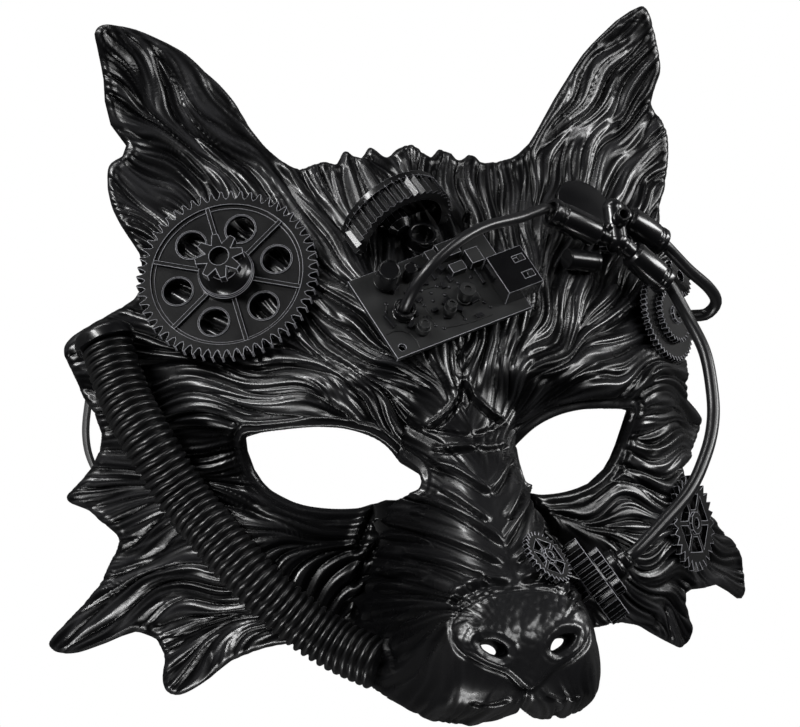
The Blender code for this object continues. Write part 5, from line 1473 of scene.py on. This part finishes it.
@dataclass
class BigGear:
    """The big gear: a toothed rim, a thin web with collared holes, six ribs and its hub."""

    nodes: dict[str, bpy.types.Object]
    teeth: int = 56
    radius: float = 0.0278
    tooth_height: float = 0.0027
    thickness: float = 0.0034
    bore: float = 0.0232
    web_low: float = 0.0006
    web_high: float = 0.0020
    hole_radius: float = 0.0044
    hole_circle: float = 0.0156
    rib_width: float = 0.0013
    rib_turn_deg: float = 35.0
    spokes: int = 6
    hub_radius: float = 0.0086
    hub_height: float = 0.0125
    neck_radius: float = 0.0044
    ring_width: float = 0.0011
    ring_height: float = 0.0005
    collar_width: float = 0.00055
    collar_height: float = 0.0004
    sunk: float = 0.0001
    # One tooth: its turns as shares of the pitch, and its depths as shares of the tooth's height
    tooth: tuple = ((-0.5, 1.0), (-0.30, 0.78), (-0.12, 0.10), (0.0, 0.0), (0.12, 0.10), (0.30, 0.78))

    def rim(self) -> np.ndarray:
        """The teeth's outline, each tooth rounded at its tip."""
        points = []
        for number in range(self.teeth):
            for share, depth in self.tooth:
                angle = 2 * math.pi * (number + share) / self.teeth
                reach = self.radius - self.tooth_height * depth
                points.append((reach * math.cos(angle), reach * math.sin(angle)))
        return np.array(points)

    def build(self) -> bpy.types.Object:
        """Build the gear in place of its solid."""
        frame = Spindle.read(self.nodes["big_gear"], (0, 0, 1)).frame()
        turns = [math.radians(self.rib_turn_deg + 360 / self.spokes * spoke)
                 for spoke in range(self.spokes)]
        half = math.pi / self.spokes
        places = [(self.hole_circle * math.cos(turn + half), self.hole_circle * math.sin(turn + half))
                  for turn in turns]
        shapes = [plate(self.rim(), [circle(self.bore, 96)], 0.0, self.thickness),
                  plate(circle(self.bore + 0.0003, 96), [circle(self.hole_radius, 40, place)
                                                         for place in places],
                        self.web_low, self.web_high)]
        low = self.web_high - self.sunk
        shapes.append(plate(circle(self.bore + 0.0002, 96), [circle(self.bore - self.ring_width, 96)], low,
                            self.web_high + self.ring_height))
        for place in places:
            shapes.append(plate(circle(self.hole_radius + self.collar_width, 40, place),
                                [circle(self.hole_radius, 40, place)], low,
                                self.web_high + self.collar_height))
        length = self.bore - self.hub_radius * 0.8
        for turn in turns:
            rib = box((length, self.rib_width, self.thickness - self.web_high - 0.0002),
                      (self.bore - length / 2, 0.0, (self.thickness + self.web_high - 0.0002) / 2))
            shapes.append(set_at(rib, Matrix.Rotation(turn, 4, "Z")))
        neck, hub, top = self.neck_radius, self.hub_radius, self.hub_height
        shapes.append(lathe([(hub, self.web_low), (hub, top * 0.34), (hub * 0.94, top * 0.36),
                             (hub * 0.94, top * 0.44), (hub * 0.86, top * 0.53), (hub * 0.74, top * 0.60),
                             (neck * 1.12, top * 0.66), (neck, top * 0.70), (neck, top * 0.97),
                             (neck * 0.9, top), (neck * 0.5, top)], 64))
        piece = new_piece("big_gear_moulding", *set_at(joined(*shapes), frame), 30.0)
        piece = finish_piece(piece, GEAR_PLASTIC, "big_gear")
        # The second material paints a light grey highlight on the eased edges.
        piece.data.materials.append(EDGE_HIGHLIGHT.material())
        ease(piece, 0.13, painted_highlight=True)
        return piece


@dataclass
class Hose:
    """The corrugated breathing hose, from the hood at the temple to the muzzle's wall."""

    form: FaceForm
    face: BVHTree
    radius: float = 0.0080
    hood_radius: float = 0.0093
    groove_depth: float = 0.0013
    ribs: int = 52
    rows_per_rib: int = 8
    seat_gap: float = 0.0003

    def clear(self, point: Vector, radius: float) -> Vector:
        """The same point, lifted until a ball of the radius stands clear of the face."""
        for _ in range(12):
            nearest, _, _, distance = self.face.find_nearest(point)
            wanted = radius + self.seat_gap
            if distance >= wanted and point.z > nearest.z:
                break
            point.z += wanted - distance if point.z > nearest.z else wanted + distance
        return point

    def build(self) -> bpy.types.Object:
        """Build the hose."""
        points = [self.form.point_at(*row) for row in HOSE_ROUTE]
        route = [self.clear(point, self.hood_radius if index == 0 else self.radius)
                 for index, point in enumerate(points[:-1])] + [points[-1]]
        fine = smooth_route(route, self.radius / 8)
        rows = self.ribs * self.rows_per_rib
        line = read_line(fine, np.arange(len(fine)), np.linspace(0, len(fine) - 1, rows + 1))
        phase = np.arange(rows + 1) / self.rows_per_rib * 2 * math.pi
        round_rib = np.abs(np.cos(phase / 2)) ** 4
        radii = self.radius - self.groove_depth * round_rib
        piece = new_piece("corrugated_hose", *tube(line, radii, 40), 70.0)
        return finish_piece(piece, HOSE_PLASTIC, "breathing_hose")


@dataclass
class Manifold:
    """The elbows between the three barrels: short pipes with a ball at each knee."""

    nodes: dict[str, bpy.types.Object]
    radius: float = 0.0032
    stub: float = 0.0058
    stub_a: float = 0.0028

    def pipe(self, start: Vector, end: Vector, radius: float) -> tuple:
        """A pipe between two points, with a bead round its middle."""
        length = (end - start).length
        profile = [(radius, 0.0), (radius, length * 0.40), (radius * 1.12, length * 0.42),
                   (radius * 1.12, length * 0.56), (radius, length * 0.58), (radius, length)]
        return set_at(lathe(profile, 40), axis_frame(start, end - start))

    def ball(self, centre: Vector, radius: float) -> tuple:
        """A ball."""
        profile = [(radius * math.sin(angle), -radius * math.cos(angle))
                   for angle in np.radians(np.linspace(2, 178, 17))]
        return set_at(lathe(profile, 40), Matrix.Translation(centre))

    def build(self) -> bpy.types.Object:
        """Build the elbows in place of their solid."""
        first, second, third = (Spindle.read(self.nodes[name], toward) for name, toward in BARRELS)
        upper = second.foot - second.axis * self.stub
        lower = third.foot - third.axis * self.stub
        middle = (upper + lower) / 2
        knee = first.foot - first.axis * self.stub_a
        radius = self.radius
        shapes = [self.pipe(upper, lower, radius), self.ball(upper, radius * 1.02),
                  self.ball(lower, radius * 1.02), self.pipe(knee, middle, radius * 0.8),
                  self.pipe(first.foot, knee, radius * 0.86), self.ball(knee, radius * 0.87),
                  self.pipe(upper, second.foot, radius * 0.9), self.pipe(lower, third.foot, radius * 0.9)]
        return finish_piece(new_piece("manifold_elbows", *joined(*shapes), 40.0), PAINTED_METAL,
                            "manifold")


@dataclass
class Cables:
    """The three cables, each smooth and round and held at both ends."""

    form: FaceForm
    nodes: dict[str, bpy.types.Object]
    stub: float = 0.0028
    into: float = 0.0006
    forehead_radius: float = 0.0017
    long_radius: float = 0.0020
    loop_radius: float = 0.0019

    def run(self, node: str, radius: float, start: Sequence[Vector], rows: Sequence[tuple],
            end: Sequence[Vector] = ()) -> None:
        """Lay one cable in place of its solid.

        Args:
            node: the solid's name.
            radius: the cable's radius.
            start: where it begins and how it leaves.
            rows: its way over the face, as shares.
            end: how it arrives and where it ends, if that is on a piece.
        """
        points = [*start, *(self.form.point_at(*row) for row in rows), *end]
        route = smooth_route(points, radius * 0.8)
        piece = new_piece(f"{node}_sheath", *tube(route, [radius] * len(route)), 50.0)
        finish_piece(piece, SHEATH, node)

    def build(self) -> None:
        """Lay all three."""
        socket = Spindle.read(self.nodes["cable_socket"], (0, 0, 1))
        stack = Spindle.read(self.nodes["stack_sleeve"], (1, 0, 0))
        first, second, third = (Spindle.read(self.nodes[name], toward) for name, toward in BARRELS)
        into, out_b, out_c = (part.foot + part.axis * (part.length - self.into)
                              for part in (first, second, third))
        start = socket.foot + socket.axis * socket.length * 0.3
        self.run("forehead_cable", self.forehead_radius, (start, start + socket.axis * socket.length),
                 FOREHEAD_CABLE_ROUTE, (into + first.axis * self.stub, into))
        end = stack.foot + stack.axis * (stack.length - self.into)
        self.run("long_cable", self.long_radius, (out_c, out_c + third.axis * self.stub),
                 LONG_CABLE_ROUTE, (end + stack.axis * stack.length, end))
        self.run("loop_tube", self.loop_radius, (out_b, out_b + second.axis * self.stub), LOOP_TUBE_ROUTE)


@dataclass
class Strap:
    """The woven elastic strap, on its edge between its two tabs."""

    form: FaceForm
    nodes: dict[str, bpy.types.Object]
    width: float = 0.006
    thickness: float = 0.001
    seat_gap: float = 0.0003

    def build(self) -> bpy.types.Object:
        """Weave the strap along its route."""
        ends = []
        for name, side in (("strap_tab_left", -1), ("strap_tab_right", 1)):
            corners = world_corners(self.nodes[name])
            low, high = corners.min(axis=0), corners.max(axis=0)
            outer = low[0] if side < 0 else high[0]
            beside = outer + side * (self.thickness / 2 + self.seat_gap)
            ends.append([(beside, high[1], 0.0), (beside, low[1], 0.0)])
        middle = [tuple(self.form.point_at(x, y, 0.0)) for x, y in STRAP_ROUTE]
        route = smooth_route(ends[0] + middle + ends[1][::-1], self.width / 8)
        tangents = np.gradient(route, axis=0)
        tangents /= np.linalg.norm(tangents, axis=1)[:, None]
        aside = np.column_stack((-tangents[:, 1], tangents[:, 0], np.zeros(len(route))))
        half, thin = self.thickness / 2, self.thickness / 2 * 0.8
        side = [(half, 0.0), (half, 0.06), (thin, 0.09), (thin, 0.91), (half, 0.94), (half, 1.0)]
        section = [(-shift, share) for shift, share in side] + side[::-1]
        points = [Vector(point) + Vector(across) * shift + UP * self.width * share
                  for point, across in zip(route, aside) for shift, share in section]
        piece = new_piece("woven_strap", *sleeve(points, len(section)), 30.0)
        return finish_piece(piece, ELASTIC, "elastic_strap")


@dataclass
class BoardDetails:
    """What is soldered and printed on the circuit board: solder beads, small parts and tracks."""

    nodes: dict[str, bpy.types.Object]
    length: float = 0.048
    width: float = 0.030
    across: tuple[float, float, float] = (0.948, 0.297, -0.118)
    sunk: float = 0.0001
    track_radius: float = 0.00022

    def frame(self) -> Matrix:
        """A placement at the middle of the board's upper face, with X along the board."""
        corners = world_corners(self.nodes["circuit_board"])
        middle = corners.mean(axis=0)
        ways = np.linalg.svd(np.unique(np.round(corners, 6), axis=0) - middle)[2]
        up = ways[2] * (1.0 if ways[2][2] > 0 else -1.0)
        frame = axis_frame(middle, up, self.across)
        places = np.array([tuple(frame.inverted() @ Vector(corner)) for corner in corners])
        centre = (places.min(axis=0) + places.max(axis=0)) / 2
        return frame @ Matrix.Translation((centre[0], centre[1], places[:, 2].max()))

    def place(self, x: float, y: float, z: float = 0.0) -> Vector:
        """A place on the board from shares of its half sides and a height in metres."""
        return Vector((x * self.length / 2, y * self.width / 2, z))

    def bead(self, x: float, y: float, radius: float, height: float) -> tuple:
        """A solder bead at a place given as shares of the board's half sides."""
        profile = [(radius * math.cos(a), height * math.sin(a)) for a in np.radians((0, 30, 55, 75, 88))]
        return set_at(lathe(profile, 16), Matrix.Translation(self.place(x, y, -self.sunk)))

    def build(self) -> None:
        """Put the details on the board."""
        frame = self.frame()
        shapes = [self.bead(*row) for row in SOLDER_BEADS]
        for x, y, length, breadth, height, turn in BOARD_BITS:
            spot = Matrix.Translation(self.place(x, y, height / 2 - self.sunk))
            shapes.append(set_at(box((length, breadth, height), (0, 0, 0)),
                                 spot @ Matrix.Rotation(math.radians(turn), 4, "Z")))
        piece = new_piece("board_solder", *set_at(joined(*shapes), frame), 30.0)
        ease(piece, 0.08)
        finish_piece(piece, SOLDER)
        tracks = [tube(np.array([tuple(self.place(x, y)) for x, y in row]),
                       [self.track_radius] * len(row), 6) for row in BOARD_TRACKS]
        piece = new_piece("board_tracks", *set_at(joined(*tracks), frame), 60.0)
        finish_piece(piece, BOARD_LACQUER)


# Solder beads: place as shares of the board's half sides, radius and height in metres
SOLDER_BEADS = (
    (-0.40, 0.30, 0.0007, 0.0006), (-0.33, 0.16, 0.0006, 0.0005), (-0.20, 0.24, 0.0008, 0.0006),
    (-0.10, 0.10, 0.0006, 0.0005), (0.02, 0.20, 0.0007, 0.0005), (-0.28, -0.10, 0.0007, 0.0006),
    (-0.14, -0.08, 0.0006, 0.0005), (0.05, -0.05, 0.0008, 0.0006), (0.16, 0.08, 0.0006, 0.0005),
    (-0.72, 0.22, 0.0007, 0.0005), (-0.78, 0.06, 0.0006, 0.0005), (0.44, -0.02, 0.0007, 0.0005),
    (0.50, 0.12, 0.0006, 0.0005), (0.30, 0.10, 0.0007, 0.0006), (-0.06, 0.42, 0.0006, 0.0005),
    (-0.30, -0.62, 0.0006, 0.0005), (-0.22, -0.74, 0.0006, 0.0005), (0.10, -0.72, 0.0006, 0.0005),
    (0.46, -0.52, 0.0007, 0.0005), (0.50, -0.66, 0.0006, 0.0005),
)

# Small parts: place as shares of the half sides, length, breadth and height in metres, turn in degrees
BOARD_BITS = (
    (-0.82, -0.18, 0.0012, 0.0050, 0.0014, 8), (-0.30, 0.04, 0.0022, 0.0010, 0.0010, 20),
    (-0.12, 0.34, 0.0026, 0.0012, 0.0011, -15), (0.05, 0.42, 0.0012, 0.0026, 0.0012, 5),
    (0.10, 0.16, 0.0024, 0.0012, 0.0010, 70), (-0.20, -0.30, 0.0020, 0.0010, 0.0009, 0),
    (0.22, 0.24, 0.0014, 0.0022, 0.0012, 10), (-0.36, -0.40, 0.0016, 0.0010, 0.0009, 60),
    (0.00, -0.20, 0.0030, 0.0011, 0.0010, 30), (0.56, 0.84, 0.0016, 0.0024, 0.0018, 0),
    (0.60, 0.10, 0.0010, 0.0070, 0.0012, 0), (0.30, -0.76, 0.0024, 0.0012, 0.0008, 0),
    (-0.52, 0.45, 0.0030, 0.0016, 0.0022, 25), (-0.46, 0.70, 0.0016, 0.0030, 0.0016, 0),
    (-0.02, 0.68, 0.0036, 0.0014, 0.0020, -10), (0.16, 0.52, 0.0014, 0.0030, 0.0024, 15),
    (0.26, -0.12, 0.0018, 0.0032, 0.0018, -20), (-0.60, -0.42, 0.0026, 0.0014, 0.0012, 35),
    (-0.46, -0.22, 0.0012, 0.0024, 0.0016, 0), (0.34, -0.42, 0.0030, 0.0014, 0.0014, 10),
    (0.10, -0.48, 0.0014, 0.0022, 0.0012, 45), (-0.10, -0.54, 0.0024, 0.0012, 0.0010, -25),
    (0.36, 0.40, 0.0012, 0.0028, 0.0022, 0), (-0.14, 0.84, 0.0030, 0.0014, 0.0014, 0),
)

# Tracks of the board: corners as shares of the half sides
BOARD_TRACKS = (
    ((-0.95, -0.42), (-0.86, -0.40), (-0.74, -0.46), (-0.66, -0.60), (-0.64, -0.78), (-0.66, -0.95)),
    ((-0.40, 0.30), (-0.33, 0.16), (-0.28, -0.10), (-0.30, -0.40), (-0.30, -0.62)),
    ((0.05, -0.05), (0.10, -0.30), (0.10, -0.72)), ((-0.20, 0.24), (0.02, 0.20), (0.16, 0.08)),
    ((0.44, -0.02), (0.46, -0.30), (0.46, -0.52)), ((-0.72, 0.22), (-0.78, 0.06), (-0.80, -0.10)),
    ((-0.22, -0.74), (-0.02, -0.80), (0.20, -0.84), (0.46, -0.84)),
)


# Each light holds its name, its place in metres as the camera sees it (right of the mask, up and
# toward the camera), its two sides in metres and its power in watts
LIGHTS = (
    ("key", (-0.9, 0.8, 0.9), (0.16, 0.9), 17.0), ("right", (1.2, 0.45, 0.05), (0.25, 0.9), 10.5),
    ("front", (1.0, 0.7, 0.75), (0.20, 1.0), 6.0), ("low", (-0.2, -1.1, 0.5), (1.0, 0.10), 9.0),
    ("top", (-0.45, 1.15, 0.25), (0.9, 0.10), 4.5),
)


@dataclass
class Studio:
    """The floor, the lights and the camera."""

    form: FaceForm
    turn_deg: float = 17.56
    lean_deg: float = 8.66
    tip_deg: float = 7.6
    roll_deg: float = -0.79
    distance: float = 1.280
    pixels_per_mm: float = 3.3
    centre_px: tuple[float, float] = (443.0, 429.7)
    image_px: tuple[float, float] = (800.0, 727.0)
    aim_height: float = 0.050

    def axes(self) -> tuple[Vector, Vector, Vector]:
        """Directions to the camera's right, to its top and back toward it."""
        turn, lean, tip, roll = (math.radians(angle) for angle in (self.turn_deg, self.lean_deg,
                                                                   self.tip_deg, self.roll_deg))
        back = Vector((-math.sin(turn) * math.cos(lean), math.sin(lean), math.cos(turn) * math.cos(lean)))
        right = Vector((math.cos(turn), 0.0, math.sin(turn)))
        top = back.cross(right)
        tilt = Matrix.Rotation(tip, 3, "X")
        back, right, top = tilt @ back, tilt @ right, tilt @ top
        return (right * math.cos(roll) + top * math.sin(roll),
                top * math.cos(roll) - right * math.sin(roll), back)

    def camera(self) -> None:
        """Set the camera where the photograph was taken from."""
        right, top, back = self.axes()
        focal = self.distance * self.pixels_per_mm / MM
        across = (self.centre_px[0] - self.image_px[0] / 2) / focal * self.distance
        down = (self.image_px[1] / 2 - self.centre_px[1]) / focal * self.distance
        place = Vector((0.0, self.form.centre_y, self.aim_height)) + back * self.distance
        place -= right * across + top * down
        lens = bpy.data.cameras.new("camera")
        lens.sensor_width = 36.0
        lens.lens = focal / self.image_px[0] * lens.sensor_width
        lens.clip_start, lens.clip_end = 0.05, 20.0
        camera = bpy.data.objects.new("camera", lens)
        camera.matrix_world = Matrix.Translation(place) @ Matrix((right, top, back)).transposed().to_4x4()
        bpy.context.scene.collection.objects.link(camera)
        bpy.context.scene.camera = camera

    def light(self, name: str, spot: tuple[float, float, float], size: tuple[float, float],
              power: float) -> None:
        """Hang one of the soft lights."""
        aim = Vector((0.0, 0.0, self.aim_height))
        place = aim.copy()
        for way, reach in zip(self.axes(), spot):
            place += way * reach
        lamp = bpy.data.lights.new(name, "AREA")
        lamp.shape = "RECTANGLE"
        lamp.size, lamp.size_y = size
        lamp.energy = power
        thing = bpy.data.objects.new(name, lamp)
        thing.location = place
        thing.rotation_mode = "QUATERNION"
        thing.rotation_quaternion = (aim - place).to_track_quat("-Z", "Y")
        bpy.context.scene.collection.objects.link(thing)

    def floor(self) -> None:
        """Lay the white floor, which glows only toward the camera, as a product table lit from below."""
        floor = new_piece("floor", [(-4, -4, 0), (4, -4, 0), (4, 4, 0), (-4, 4, 0)], [(0, 1, 2, 3)])
        floor.location.z = -0.0004
        material = bpy.data.materials.new("Opal_acrylic_table")
        material.use_nodes = True
        tree = material.node_tree
        shader = tree.nodes["Principled BSDF"]
        shader.inputs["Base Color"].default_value = linear("3C3C3C")
        shader.inputs["Roughness"].default_value = 0.7
        glow = add_node(tree, "ShaderNodeEmission", values={"Strength": 1.0})
        glow.inputs["Color"].default_value = linear("FFFFFF")
        seen = add_node(tree, "ShaderNodeLightPath").outputs["Is Camera Ray"]
        mixed = add_node(tree, "ShaderNodeMixShader", links={0: seen, 1: shader.outputs["BSDF"],
                                                             2: glow.outputs["Emission"]})
        tree.links.new(mixed.outputs["Shader"], tree.nodes["Material Output"].inputs["Surface"])
        floor.data.materials.append(material)

    def build(self) -> None:
        """Set up the whole studio."""
        self.camera()
        self.floor()
        bpy.context.scene.view_settings.view_transform = "Standard"
        world = bpy.data.worlds.new("studio")
        world.use_nodes = True
        background = world.node_tree.nodes["Background"]
        background.inputs["Color"].default_value = linear("020202")
        background.inputs["Strength"].default_value = 1.0
        bpy.context.scene.world = world
        for row in LIGHTS:
            self.light(*row)


def main() -> None:
    """Build the mask on its frame."""
    logging.basicConfig(level=logging.INFO, format="%(message)s")
    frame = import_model()
    form = FaceForm()
    Studio(form).build()
    nodes = frame["nodes"]
    FurSkin(form).build()
    Nostrils(form).build()
    shell = nodes["mask_shell"]
    face = BVHTree.FromPolygons(world_corners(shell).tolist(),
                                [tuple(part.vertices) for part in shell.data.polygons])
    BigGear(nodes).build()
    Hose(form, face).build()
    Manifold(nodes).build()
    Cables(form, nodes).build()
    Strap(form, nodes).build()
    for row in TURNED_PARTS:
        TurnedPart(*row).build(nodes)
    BoardDetails(nodes).build()
    KeptSolids(nodes).build()


if __name__ == "__main__":
    main()
